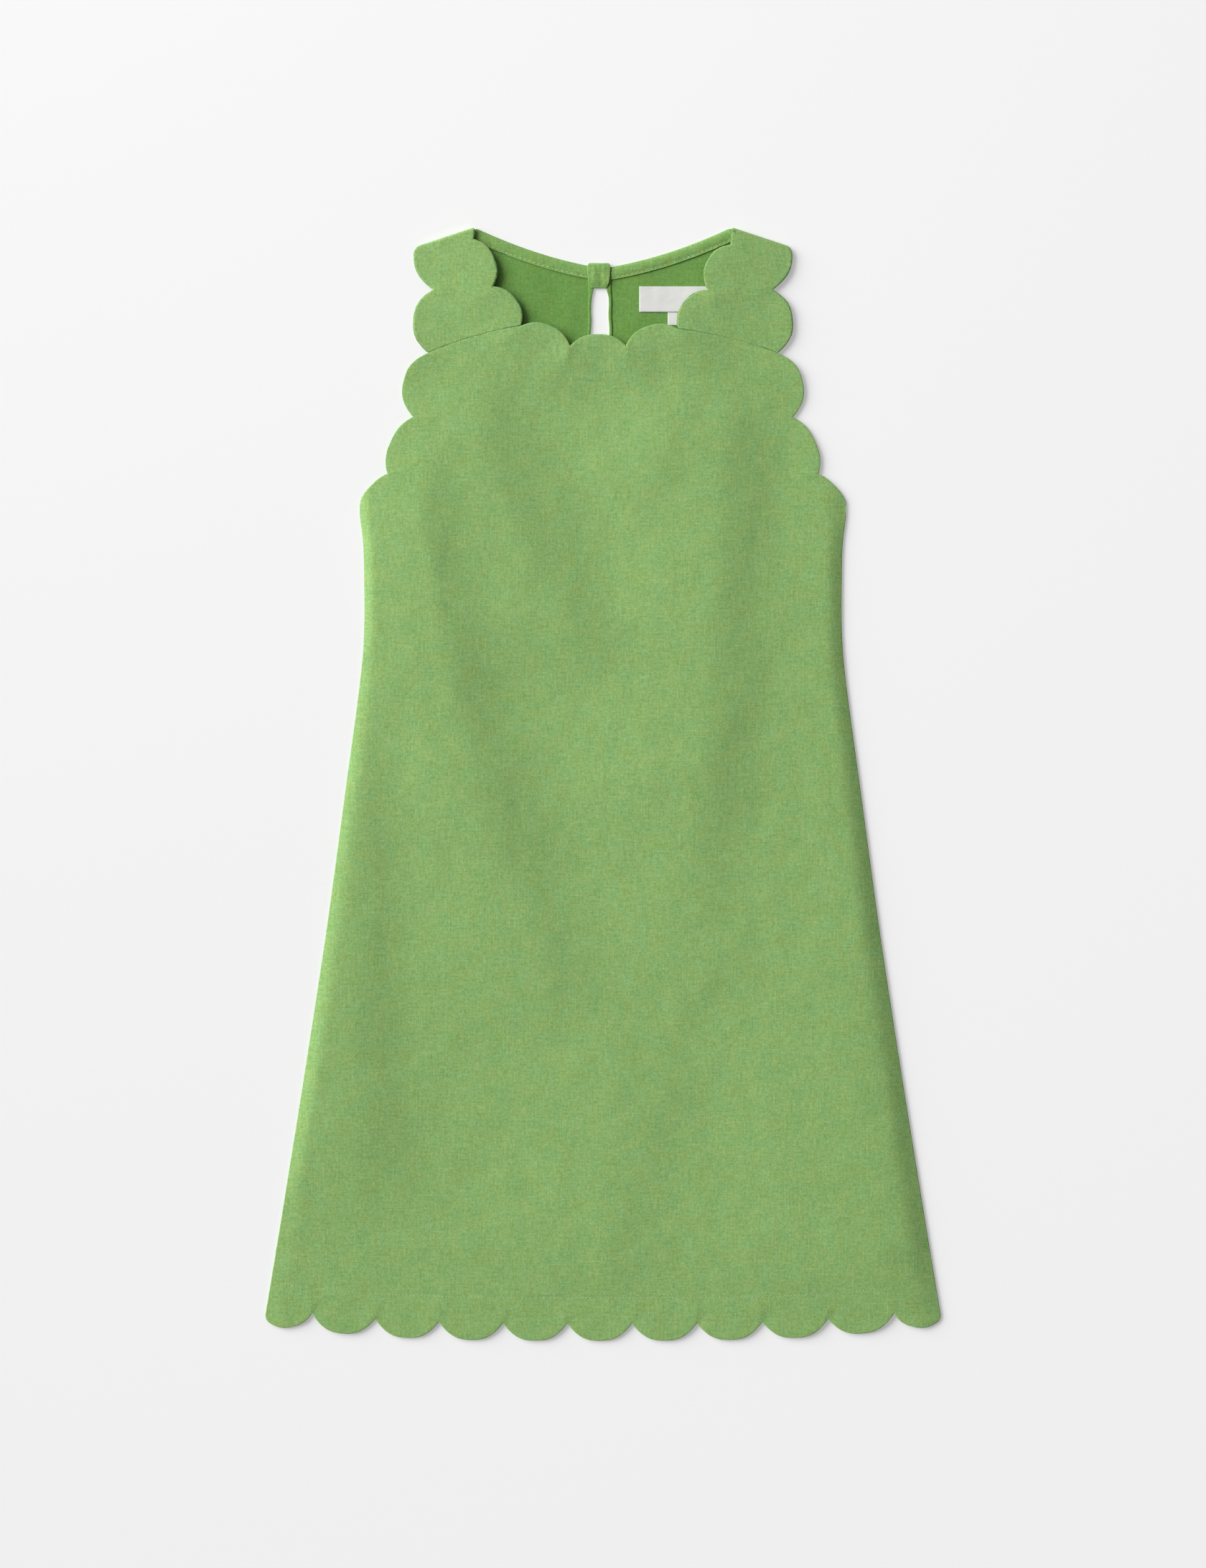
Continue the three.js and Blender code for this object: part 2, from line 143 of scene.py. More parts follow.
class Graph:
    """The node tree of one material."""

    def __init__(self, name: str) -> None:
        """Makes an empty material."""
        self.material = bpy.data.materials.new(name)
        self.material.use_nodes = True
        self.tree = self.material.node_tree
        self.tree.nodes.clear()

    def add(
        self,
        kind: str,
        settings: dict[str, Any],
        inputs: dict[str | int, Any],
        output: str | int | None = 0,
    ) -> Wire | None:
        """Adds a node.

        Args:
            kind: The node's type.
            settings: Its properties, which are set first.
            inputs: A value or a Wire for each socket that isn't left alone.
            output: The socket that is wanted, or None.

        Returns:
            That socket as a Wire, or None.
        """
        node = self.tree.nodes.new(kind)
        for key, value in settings.items():
            setattr(node, key, value)
        for key, value in inputs.items():
            if isinstance(value, Wire):
                self.tree.links.new(value.socket, node.inputs[key])
            else:
                node.inputs[key].default_value = value
        return None if output is None else Wire(self, node.outputs[output])

    def mix(self, low: Wire | Colour, high: Wire | Colour, share: Wire | float) -> Wire:
        """Mixes two colours.

        Args:
            low: The colour where share is 0.
            high: The colour where share is 1.
            share: How much of high there is.

        Returns:
            The mixed colour.
        """
        low, high = (c if isinstance(c, Wire) else (*c, 1.0) for c in (low, high))
        return self.add("ShaderNodeMix", {"data_type": "RGBA"}, {0: share, 6: low, 7: high}, 2)

    def noise(self, place: Wire, across: float, along: float, detail: float = 1.0) -> Wire:
        """Smooth noise about 0.

        Args:
            place: The place on the cloth, in millimetres.
            across: The noise's features to a millimetre in x.
            along: Its features to a millimetre in y.
            detail: Its octaves.

        Returns:
            The noise, from -1 to 1.
        """
        stretch = {0: place, 1: (across, along, 1.0)}
        scaled = self.add("ShaderNodeVectorMath", {"operation": "MULTIPLY"}, stretch)
        inputs = {"Vector": scaled, "Scale": 1.0, "Detail": detail}
        return self.add("ShaderNodeTexNoise", {"noise_dimensions": "2D"}, inputs) * 2.0 - 1.0

    def cloth_place(self) -> tuple[Wire, Wire, Wire]:
        """The place on the cloth in millimetres: the point, its x and its y."""
        uv = self.add("ShaderNodeUVMap", {"uv_map": "cloth"}, {})
        scale = {0: uv, 1: (1 / MM, 1 / MM, 1.0)}
        place = self.add("ShaderNodeVectorMath", {"operation": "MULTIPLY"}, scale)
        across = self.add("ShaderNodeSeparateXYZ", {}, {0: place}, "X")
        return place, across, Wire(self, across.socket.node.outputs["Y"])

    def close(self, fixed: dict[str, Any], **varying: Wire) -> bpy.types.Material:
        """Ends the graph with a Principled surface.

        Args:
            fixed: Sockets that are the same all over.
            varying: colour, roughness, and for a bump height, in millimetres.

        Returns:
            The material.
        """
        sockets = {"colour": "Base Color", "roughness": "Roughness"}
        inputs = {**fixed, **{sockets[key]: varying[key] for key in sockets if key in varying}}
        if "height" in varying:
            bump = {"Strength": 1.0, "Distance": MM, "Height": varying["height"]}
            inputs["Normal"] = self.add("ShaderNodeBump", {}, bump)
        surface = self.add("ShaderNodeBsdfPrincipled", {}, inputs)
        self.add("ShaderNodeOutputMaterial", {}, {"Surface": surface}, None)
        return self.material


# ---- finishes --------------------------------------------------------------------------------


@dataclass(frozen=True)
class LinenFinish:
    """Plain-woven linen with uneven threads. Colours are linear, lengths are millimetres.

    Attributes:
        name: The material's name.
        shade: The colour of thin threads.
        light: The colour of full threads.
        cool: The tint of the bluer patches.
        warm: The tint of the yellower patches.
        thread: The width of a thread.
        sheen: The strength of the fibre sheen.
    """

    name: str
    shade: Colour
    light: Colour
    cool: Colour
    warm: Colour
    thread: float = 0.62
    sheen: float = 0.12

    def weave(self, graph: Graph, place: Wire, x: Wire, y: Wire) -> Wire:
        """The height of the weave, from 0 between threads to 1 on top of one.

        Args:
            graph: The graph to work in.
            place: The place on the cloth.
            x: Its x.
            y: Its y.

        Returns:
            The height.
        """
        drift = graph.noise(place, 0.05, 0.11, 2.0)
        warp = ((x + drift * 0.5) * (math.pi / self.thread)).sin()
        weft = ((y + drift * 0.4) * (math.pi / self.thread)).sin()
        over = warp * weft
        return (abs(warp) * (0.5 + 0.5 * over)).most(abs(weft) * (0.5 - 0.5 * over))

    def slubs(self, graph: Graph, place: Wire) -> Wire:
        """How much thicker the threads are in a few places, along both threads."""
        up = graph.noise(place, 0.62, 0.03).step(0.2, 0.75)
        across = graph.noise(place, 0.03, 0.62).step(0.2, 0.75)
        return up + across

    def build(self) -> bpy.types.Material:
        """Makes the material: grain, threads, slubs and painted shade between the woven threads in the tone,
        and patches in the tint.
        """
        graph = Graph(self.name)
        place, x, y = graph.cloth_place()
        weave = self.weave(graph, place, x, y)
        slubs = self.slubs(graph, place)
        threads = graph.noise(place, 0.75, 0.07) + graph.noise(place, 0.07, 0.75)
        grain = graph.noise(place, 0.6, 0.6) + graph.noise(place, 0.3, 0.3) * 0.75
        cloud = graph.noise(place, 0.06, 0.05, 2.0)
        # The weave term darkens the tone where the weave is low, between threads: painted shade in the
        # weave's hollows.
        tone = 0.47 + grain * 0.42 + threads * 0.27 + slubs * 0.14 + cloud * 0.14 + (weave - 0.6) * 0.14
        patch = 0.5 + graph.noise(place, 0.075, 0.07, 3.0) * 1.5
        colour = graph.mix(
            graph.mix(self.shade, self.light, tone), graph.mix(self.cool, self.warm, patch), 0.35
        )
        height = weave * 0.04 + slubs * 0.04 + grain * 0.018 + graph.noise(place, 0.14, 0.14, 2.0) * 0.07
        fixed = {"Sheen Weight": self.sheen, "Sheen Roughness": 0.45, "Specular IOR Level": 0.25}
        return graph.close(fixed, colour=colour, roughness=0.86 + weave * 0.06, height=height)


@dataclass(frozen=True)
class SatinFinish:
    """Woven label satin: fine ribs across, with a low gloss."""

    name: str
    shade: Colour
    light: Colour
    rib: float = 0.35

    def build(self) -> bpy.types.Material:
        """Makes the material."""
        graph = Graph(self.name)
        place, _, y = graph.cloth_place()
        ribs = abs((y * (math.pi / self.rib)).sin())
        fibre = graph.noise(place, 0.4, 3.0, 2.0)
        # The ribs' crowns are lighter and their hollows darker: painted highlight and painted shade that
        # follow the ribs' height.
        tone = 0.5 + ribs * 0.2 + fibre * 0.3
        colour = graph.mix(self.shade, self.light, tone)
        fixed = {"Sheen Weight": 0.1, "Specular IOR Level": 0.4}
        height = ribs * 0.03 + graph.noise(place, 0.1, 0.15) * 0.1
        return graph.close(fixed, colour=colour, roughness=0.5 - ribs * 0.08, height=height)


@dataclass(frozen=True)
class ThreadFinish:
    """Sewing thread, seen as short stitches."""

    name: str
    shade: Colour
    light: Colour

    def build(self) -> bpy.types.Material:
        """Makes the material, lighter and darker from stitch to stitch."""
        graph = Graph(self.name)
        spot = graph.add("ShaderNodeTexCoord", {}, {}, "Object")
        inputs = {"Vector": spot, "Scale": 260.0, "Detail": 2.0}
        tone = graph.add("ShaderNodeTexNoise", {}, inputs).step(0.3, 0.7)
        colour = graph.mix(self.shade, self.light, tone)
        fixed = {"Specular IOR Level": 0.4, "Sheen Weight": 0.1}
        return graph.close(fixed, colour=colour, roughness=0.7 - tone * 0.15)


@dataclass(frozen=True)
class FloorFinish:
    """The plain pale floor, the same all over.

    Attributes:
        name: The material's name.
        paint: Its colour.
        glow: How strongly it is lit from below.
    """

    name: str
    paint: Colour
    glow: float

    def build(self) -> bpy.types.Material:
        """Makes the material."""
        paint = (*self.paint, 1.0)
        fixed = {"Base Color": paint, "Roughness": 0.9, "Specular IOR Level": 0.0}
        fixed |= {"Emission Color": paint, "Emission Strength": self.glow}
        return Graph(self.name).close(fixed)


# ---- cutting cloth ---------------------------------------------------------------------------


class Edge(Enum):
    """How an edge of a cloth piece is made, and what share of its thickness is left there."""

    TURNED = 0.35
    SEWN = 1.0


@dataclass(frozen=True)
class Ring:
    """A line at one distance from a piece's edge.

    Attributes:
        inset: Its distance from the edge.
        full: How far the thickness has come from the edge's share, 0, to the whole, 1.
    """

    inset: float
    full: float


@dataclass(frozen=True)
class Stretch:
    """A stretch of an outline."""

    points: Sequence[Vector]
    edge: Edge = Edge.TURNED


PANEL_RINGS = (Ring(0.22, 0.55), Ring(0.8, 0.9), Ring(2.0, 1.0))
TRIM_RINGS = (Ring(0.25, 0.6), Ring(0.7, 0.95))


def at(x: float, y: float) -> Vector:
    """A place on flat cloth."""
    return Vector((x, y))


def mirrored(points: Sequence[Vector]) -> list[Vector]:
    """The points on the other side of the middle, in the opposite order."""
    return [at(-p.x, p.y) for p in reversed(points)]


def scallop(a: Vector, b: Vector, bulge: float, steps: int = 24) -> list[Vector]:
    """One scallop, a little squarer than a parabola.

    Args:
        a: Its first end.
        b: Its last end.
        bulge: How far it stands out to the right of the way from a to b.
        steps: How many straight steps it has.

    Returns:
        Its points, without b.
    """
    out = at(b.y - a.y, a.x - b.x).normalized()
    shares = [i / steps for i in range(steps)]
    return [a.lerp(b, t) + out * bulge * (1 - abs(2 * t - 1) ** 2.6) for t in shares]


def eased(points: Sequence[Vector], steps: int = 5) -> list[Vector]:
    """A smooth line through all the points.

    Args:
        points: The points, as a Catmull-Rom spline takes them.
        steps: How many steps there are from one to the next.

    Returns:
        The points of the line.
    """
    line = []
    ends = [points[0], *points, points[-1]]
    for p0, p1, p2, p3 in zip(ends, ends[1:], ends[2:], ends[3:]):
        for i in range(steps):
            t = i / steps
            pull = (p2 - p0) * t + (2 * p0 - 5 * p1 + 4 * p2 - p3) * t**2 + (3 * p1 - p0 - 3 * p2 + p3) * t**3
            line.append(p1 + pull / 2)
    return [*line, points[-1]]


def smoothstep(value: np.ndarray, low: float, high: float) -> np.ndarray:
    """0 below low and 1 above high, smooth between them."""
    t = np.clip((value - low) / (high - low), 0, 1)
    return t * t * (3 - 2 * t)


def spaced(stops: Sequence[tuple[float, float]], end: float) -> list[float]:
    """Places of parallel cuts.

    Args:
        stops: Where each pitch starts, and the pitch.
        end: Where the cuts end.

    Returns:
        The places, in order.
    """
    places = []
    for (start, pitch), stop in zip(stops, [*(s for s, _ in stops[1:]), end]):
        count = max(1, round((stop - start) / pitch))
        places += [start + (stop - start) * i / count for i in range(count)]
    return places


@dataclass
class ClothPiece:
    """One piece of cloth, cut flat and then laid.

    Attributes:
        name: The object's name.
        outline: The stretches of its outline, anticlockwise.
        columns: Where it is cut into columns.
        rows: Where it is cut into rows.
        thick: Its thickness.
        rings: The lines that follow its edge.
        turns: Lines across a turn of the cloth: their direction, and where they are along it.
        mesh: The bmesh that is worked on.
    """

    name: str
    outline: Sequence[Stretch]
    columns: Sequence[float]
    rows: Sequence[float]
    thick: float = 1.0
    rings: Sequence[Ring] = PANEL_RINGS
    turns: list[tuple[Vector, Sequence[float]]] = field(default_factory=list)
    mesh: bmesh.types.BMesh = field(default_factory=bmesh.new)

    def points(self) -> list[tuple[Vector, Edge]]:
        """The outline's points, with no two alike in a row, each with its edge."""
        marked = [(p, stretch.edge) for stretch in self.outline for p in stretch.points]
        return [m for i, m in enumerate(marked) if (m[0] - marked[i - 1][0]).length > 0.02]

    def area(self) -> float:
        """The flat area in square metres."""
        points = [p for p, _ in self.points()]
        return abs(sum(a.cross(b) for a, b in zip(points, [*points[1:], points[0]]))) / 2 * MM**2

    def flat(self) -> tuple[float, float]:
        """The width and length of the cut, in metres."""
        points = [p for p, _ in self.points()]
        spans = [max(p[k] for p in points) - min(p[k] for p in points) for k in (0, 1)]
        return spans[0] * MM, spans[1] * MM

    def cut_outline(self) -> None:
        """Cuts the piece as one flat face, with rings along its edge that thin it there."""
        marked = self.points()
        tree = KDTree(len(marked))
        for i, (p, _) in enumerate(marked):
            tree.insert((p.x, p.y, 0), i)
        tree.balance()
        layer = self.mesh.verts.layers.deform.verify()
        corners = [self.mesh.verts.new((p.x, p.y, 0)) for p, _ in marked]
        inner = self.mesh.faces.new(corners)
        for corner, (_, edge) in zip(corners, marked):
            corner[layer][0] = edge.value
        done = 0.0
        for ring in self.rings:
            bmesh.ops.inset_region(
                self.mesh, faces=[inner], thickness=ring.inset - done, use_even_offset=True, use_boundary=True
            )
            done = ring.inset
            for corner in inner.verts:
                share = marked[tree.find(corner.co)[1]][1].value
                corner[layer][0] = share + (1 - share) * ring.full

    def cut_lines(self, normal: Vector, places: Sequence[float], one_side: bool = False) -> None:
        """Cuts faces along parallel lines.

        Args:
            normal: The direction across the lines.
            places: Where they are along it, in order.
            one_side: Whether only the side of the piece that the normal leans to is cut.
        """
        faces = [f for f in self.mesh.faces if not one_side or f.verts[0].co.x * normal.x > 0]
        waiting = sorted(((min(v.co.dot(normal) for v in f.verts), f) for f in faces), key=lambda w: -w[0])
        active = []
        for place in places:
            while waiting and waiting[-1][0] < place:
                active.append(waiting.pop()[1])
            active = [f for f in active if max(v.co.dot(normal) for v in f.verts) > place + 1e-4]
            geometry = {*active, *(e for f in active for e in f.edges), *(v for f in active for v in f.verts)}
            made = bmesh.ops.bisect_plane(
                self.mesh, geom=list(geometry), dist=1e-4, plane_co=normal * place, plane_no=normal
            )
            active = [g for g in made["geom"] if isinstance(g, bmesh.types.BMFace)]

    def mark_cut(self) -> None:
        """Stores each corner's place in the UV map that the finishes read, and keeps sewn edges square."""
        layer = self.mesh.loops.layers.uv.new("cloth")
        shares = self.mesh.verts.layers.deform.verify()
        for edge in self.mesh.edges:
            if edge.is_boundary:
                edge.smooth = min(v[shares].get(0, 1.0) for v in edge.verts) < Edge.SEWN.value - 0.01
        for face in self.mesh.faces:
            face.smooth = True
            for loop in face.loops:
                loop[layer].uv = loop.vert.co.xy

    def lay(self, laying: Callable[[np.ndarray, np.ndarray], Places]) -> None:
        """Moves every point from its place on the flat cloth to where it lies.

        Args:
            laying: Gives x, y and z of the cloth's middle for arrays of flat x and y.
        """
        flat = np.array([v.co.xy for v in self.mesh.verts])
        for vert, place in zip(self.mesh.verts, np.stack(laying(flat[:, 0], flat[:, 1]), 1)):
            vert.co = Vector(place.tolist()) * MM

    def make(self, laying: Callable[[np.ndarray, np.ndarray], Places]) -> bpy.types.Object:
        """Cuts and lays the piece, and gives it its thickness.

        Args:
            laying: Where each point of the flat cloth lies.

        Returns:
            The finished object.
        """
        self.cut_outline()
        self.cut_lines(Vector((1, 0, 0)), self.columns)
        self.cut_lines(Vector((0, 1, 0)), self.rows)
        for normal, places in self.turns:
            self.cut_lines(normal, places, one_side=True)
        self.lay(laying)
        self.mark_cut()
        shown = sewn_object(self.name, self.mesh)
        shown.vertex_groups.new(name="thickness")
        wall = shown.modifiers.new("thickness", "SOLIDIFY")
        wall.thickness = self.thick * MM
        wall.offset = 0
        wall.vertex_group = "thickness"
        return shown


def sewn_object(name: str, mesh: bmesh.types.BMesh) -> bpy.types.Object:
    """Turns a bmesh into an object of the dress.

    Args:
        name: The object's name.
        mesh: The bmesh, which is freed.

    Returns:
        The object, riding on the dress's one body.
    """
    data = bpy.data.meshes.new(name)
    mesh.to_mesh(data)
    mesh.free()
    shown = bpy.data.objects.new(name, data)
    bpy.context.scene.collection.objects.link(shown)
    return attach(shown, "root")


# ---- the dress's cut -------------------------------------------------------------------------


@dataclass(frozen=True)
class DressCut:
    """The lines that the dress is cut along, on its right side where both sides are alike.

    Attributes:
        side: Height and half width at the side seam, from the underarm to the hem corner.
        armhole: The armhole's notches, downwards, and how far the scallop below each stands out.
        neckline: The front neckline's notches, from left to right, in the same way.
        arm_seam: The armhole notch where the forward shoulder seam ends.
        neck_seams: The neckline notches where the left and the right seam end.
        seam_bow: How far the seam bows upwards.
        hem_scallops: How many whole scallops the hem has.
        hem_half: Half the distance between its outermost notches.
        hem_low: The height of its lowest notch.
        hem_rise: How much higher the outermost notches are.
        hem_drift: How far left the middle notches lie.
        hem_bulge: How far a scallop stands out.
        end_bulge: How far the part scallop at each end stands out.
        neck_low: The lowest point of the back neck's edge.
        neck_half: Half the distance between the shoulders' neck ends.
        shoulder: The height of those ends.
        hole_x: The keyhole's middle.
        hole_top: Its width at the neck.
        hole_foot: Its width at the foot.
        hole_depth: Its depth.
    """

    side: tuple[tuple[float, float], ...] = (
        (243.5, 209.4), (231.0, 209.4), (208.0, 206.7), (180.0, 205.8), (131.0, 205.9), (87.0, 209.5),
        (-5.0, 221.9), (-129.0, 238.8), (-253.0, 257.8), (-377.0, 277.8), (-458.0, 291.2),
    )  # fmt: skip
    armhole: tuple[tuple[float, float, float], ...] = (
        (146.2, 487.0, 17.0), (146.2, 426.1, 15.2), (150.5, 371.6, 15.3),
        (163.7, 316.2, 8.9), (185.8, 267.2, 2.9), (209.4, 243.5, 0.0),
    )  # fmt: skip
    neckline: tuple[tuple[float, float, float], ...] = (
        (-111.6, 469.6, 10.4), (-95.0, 428.2, 9.9), (-70.6, 394.5, 9.6), (-28.4, 377.2, 10.0),
        (19.7, 377.5, 10.2), (64.3, 391.8, 9.6), (90.1, 425.5, 12.0), (109.9, 464.4, 0.0),
    )  # fmt: skip
    arm_seam: int = 2
    neck_seams: tuple[int, int] = (2, 5)
    seam_bow: float = 2.6
    hem_scallops: int = 9
    hem_half: float = 250.8
    hem_low: float = -465.0
    hem_rise: float = 8.8
    hem_drift: float = -2.9
    hem_bulge: float = 15.0
    end_bulge: float = 7.2
    neck_low: float = 444.6
    neck_half: float = 111.0
    shoulder: float = 480.0
    hole_x: float = -2.6
    hole_top: float = 14.0
    hole_foot: float = 17.0
    hole_depth: float = 85.0

    def half_width(self, y: np.ndarray) -> np.ndarray:
        """Half the dress's width at heights up to the underarm."""
        heights, halves = zip(*reversed(self.side))
        return np.interp(y, heights, halves)

    def hem_line(self, u: np.ndarray | float) -> tuple[np.ndarray | float, np.ndarray | float]:
        """The line through the hem's notches, where u is -1 and 1 at the outermost ones."""
        x = u * self.hem_half + self.hem_drift * (1 - u * u)
        return x, self.hem_low + self.hem_rise * abs(u) ** 3.3

    def hem_notches(self, inset: float = 0.0) -> list[Vector]:
        """The hem's notches, from left to right, moved up by inset."""
        shares = [2 * i / self.hem_scallops - 1 for i in range(self.hem_scallops + 1)]
        return [at(*self.hem_line(u)) + at(0, inset) for u in shares]

    def hem(self, inset: float) -> list[Vector]:
        """The hem's edge, with a part scallop at each end.

        Args:
            inset: How far the edge lies inside the front's.

        Returns:
            Its points, from the left side seam to the right one.
        """
        notches = self.hem_notches(inset)
        whole = [p for a, b in zip(notches, notches[1:]) for p in scallop(a, b, self.hem_bulge)]
        y, half = self.side[-1]
        turn = ((4.6, 7.2), (2.2, 5.6), (0.6, 3.4))
        corner = [at(half - back - inset, y - down + inset) for back, down in turn]
        end = scallop(notches[-1], corner[0], self.end_bulge)
        return [*mirrored([*end[1:], *corner]), *whole, *end, *corner]

    def side_edge(self, inset: float) -> list[Vector]:
        """The right side's edge, from the hem corner up to the underarm."""
        return eased([at(half - inset, y) for y, half in reversed(self.side)])

    def arm_edge(self, inset: float, last: int) -> list[Vector]:
        """The right armhole's edge.

        Args:
            inset: How far the edge lies inside the front's.
            last: The notch where it ends.

        Returns:
            Its points, from the underarm up to that notch.
        """
        notches = [at(x - inset, y) for x, y, _ in self.armhole]
        edge = []
        for i in range(len(notches) - 1, last, -1):
            edge += scallop(notches[i], notches[i - 1], self.armhole[i - 1][2])
        return [*edge[1:], notches[last]]

    def neck_edge(self, first: int, last: int) -> list[Vector]:
        """The front neckline's edge from one notch to another, towards the left."""
        notches = [at(x, y) for x, y, _ in self.neckline]
        edge = []
        for i in range(first, last, -1):
            edge += scallop(notches[i], notches[i - 1], self.neckline[i - 1][2])
        return [*edge, notches[last]]

    def seam(self, side: int, up: float) -> list[Vector]:
        """A forward shoulder seam, from the armhole to the neckline.

        Args:
            side: 1 for the right shoulder, -1 for the left.
            up: How far it is moved up.

        Returns:
            Its points.
        """
        arm, neck = self.armhole[self.arm_seam], self.neckline[self.neck_seams[side > 0]]
        a, b = at(side * arm[0], arm[1] + up), at(neck[0], neck[1] + up)
        shares = [i / 16 for i in range(17)]
        return [a.lerp(b, t) + at(0, 4 * self.seam_bow * t * (1 - t)) for t in shares]

    def back_neck_height(self, x: np.ndarray) -> np.ndarray:
        """The height of the back neck's edge."""
        t = abs(x) / self.neck_half
        return self.neck_low + (self.shoulder - self.neck_low) * (t + t * t) / 2

    def back_neck(self, start: float, end: float, steps: int) -> list[Vector]:
        """The back neck's edge from one x to another."""
        places = [start + (end - start) * i / steps for i in range(steps + 1)]
        return [at(x, self.back_neck_height(x)) for x in places]

    def keyhole(self, out: float) -> list[Vector]:
        """The keyhole's edge.

        Args:
            out: How far it is moved out of the hole.

        Returns:
            Its points, from the neck down its right side, round its foot and up its left side.
        """
        radius, top = self.hole_foot / 2 + out, self.hole_top / 2 + out
        middle = self.neck_low - self.hole_depth + self.hole_foot / 2
        turns = [math.pi * i / 20 for i in range(21)]
        foot = [at(self.hole_x + radius * math.cos(a), middle - radius * math.sin(a)) for a in turns]
        heads = [at(x, self.back_neck_height(x)) for x in (self.hole_x + top, self.hole_x - top)]
        sides = [
            [a.lerp(b, i / 12) + at(0.35 * math.sin(i * 1.7) * (0 < i < 12), 0) for i in range(12)]
            for a, b in ((heads[0], foot[0]), (foot[-1], heads[1]))
        ]
        return [*sides[0], *foot, *sides[1][1:], heads[1]]


# ---- how the cloth lies ----------------------------------------------------------------------


@dataclass(frozen=True)
class Fold:
    """A long soft fold: a ridge through three places, gentle on its left and steeper on its right.

    Attributes:
        top: Its first place.
        mid: Its second.
        foot: Its last.
        wide: The half width of its right side at the top and at the foot.
        high: Its height at the top and at the foot.
        fade: The length over which its ends fade.
        lean: How many times wider its left side is.
    """

    top: tuple[float, float]
    mid: tuple[float, float]
    foot: tuple[float, float]
    wide: tuple[float, float]
    high: tuple[float, float]
    fade: float
    lean: float = 2.2

    def ridge(self, y: np.ndarray) -> np.ndarray:
        """Where the ridge lies at a height: the parabola through its places."""
        (x0, y0), (x1, y1), (x2, y2) = self.top, self.mid, self.foot
        return (
            x0 * (y - y1) * (y - y2) / ((y0 - y1) * (y0 - y2))
            + x1 * (y - y0) * (y - y2) / ((y1 - y0) * (y1 - y2))
            + x2 * (y - y0) * (y - y1) / ((y2 - y0) * (y2 - y1))
        )

    def height(self, x: np.ndarray, y: np.ndarray) -> np.ndarray:
        """How much the fold adds at a place."""
        top, foot, half = self.top[1], self.foot[1], self.fade / 2
        down = np.clip((top - y) / (top - foot), 0, 1)
        fading = (1 - smoothstep(y, top - half, top + half)) * smoothstep(y, foot - half, foot + half)
        off = x - self.ridge(np.clip(y, foot, top))
        across = off / (self.wide[0] + (self.wide[1] - self.wide[0]) * down) / np.where(off < 0, self.lean, 1)
        high = self.high[0] + (self.high[1] - self.high[0]) * down
        return high * fading * np.exp(-(across**2) / 2)


@dataclass(frozen=True)
class Crease:
    """A short crease: a ridge, or a trough where it is lower than 0.

    Attributes:
        x: Its middle.
        y: Its middle.
        turn: Its direction in degrees, from +X towards +Y.
        long: Its half length.
        wide: Its half width.
        high: Its height.
        bow: How far its ends bend to the left of its direction.
    """

    x: float
    y: float
    turn: float
    long: float
    wide: float
    high: float
    bow: float = 0.0

    def height(self, x: np.ndarray, y: np.ndarray) -> np.ndarray:
        """How much the crease adds at a place."""
        cos, sin = math.cos(math.radians(self.turn)), math.sin(math.radians(self.turn))
        along = ((x - self.x) * cos + (y - self.y) * sin) / self.long
        across = ((y - self.y) * cos - (x - self.x) * sin - self.bow * along**2) / self.wide
        return self.high * np.exp(-(along**2) - across**2 / 2)


FOLDS = (
    Fold((-210, 50), (-218, -120), (-220, -340), (15, 28), (1.5, 4.0), 120, 2.0),
    Fold((-163, 270), (-142, 110), (-110, -20), (20, 30), (4.5, 5.0), 100, 2.0),
    Fold((-112, 0), (-90, -80), (-52, -200), (32, 42), (4.0, 3.0), 110, 1.5),
    Fold((-124, 340), (-94, 250), (-30, 110), (26, 36), (4.5, 6.0), 90, 2.0),
    Fold((100, 335), (93, 180), (70, -40), (22, 32), (4.5, 6.0), 110, 2.5),
    Fold((72, -50), (64, -120), (52, -190), (32, 36), (3.0, 2.0), 90, 1.5),
    Fold((190, 235), (208, -40), (240, -440), (15, 40), (1.5, 4.5), 100, 3.0),
    Fold((18, -210), (6, -320), (-10, -420), (34, 40), (2.5, 2.5), 90, 1.5),
    Fold((70, 365), (42, 310), (22, 240), (20, 28), (1.5, 1.5), 60, 1.5),
)

# Creases of the front, and those of the back that show inside the neck.
FRONT_CREASES = (
    Crease(-96, 322, -58, 46, 9, 0.5),
    Crease(-46, 262, -64, 40, 10, 0.45),
    Crease(-150, 205, -78, 44, 8, 0.45),
    Crease(62, 318, -118, 50, 10, 0.45),
    Crease(128, 246, -104, 52, 9, 0.55),
    Crease(112, 60, -108, 56, 11, 0.5),
    Crease(6, 168, -86, 46, 15, -0.4),
    Crease(-112, 66, -70, 52, 12, 0.45),
    Crease(-58, -128, -72, 56, 14, 0.5),
    Crease(-196, -118, -94, 60, 12, 0.5),
    Crease(-190, -282, -88, 52, 13, 0.45),
    Crease(104, -152, -128, 60, 13, 0.45),
    Crease(66, -256, -124, 52, 14, 0.4),
    Crease(-6, -306, -52, 46, 13, -0.4),
    Crease(150, -338, -74, 54, 14, 0.4),
    Crease(-130, -392, -28, 42, 8, 0.4),
    Crease(40, -402, -150, 44, 9, 0.35),
    Crease(220, -396, 158, 34, 9, 0.35),
)
BACK_CREASES = (
    Crease(-62, 428, 104, 30, 9, 0.6),
    Crease(-30, 408, 82, 26, 7, 0.45),
    Crease(30, 418, 96, 34, 8, 0.5),
    Crease(82, 440, 70, 26, 9, 0.5),
)


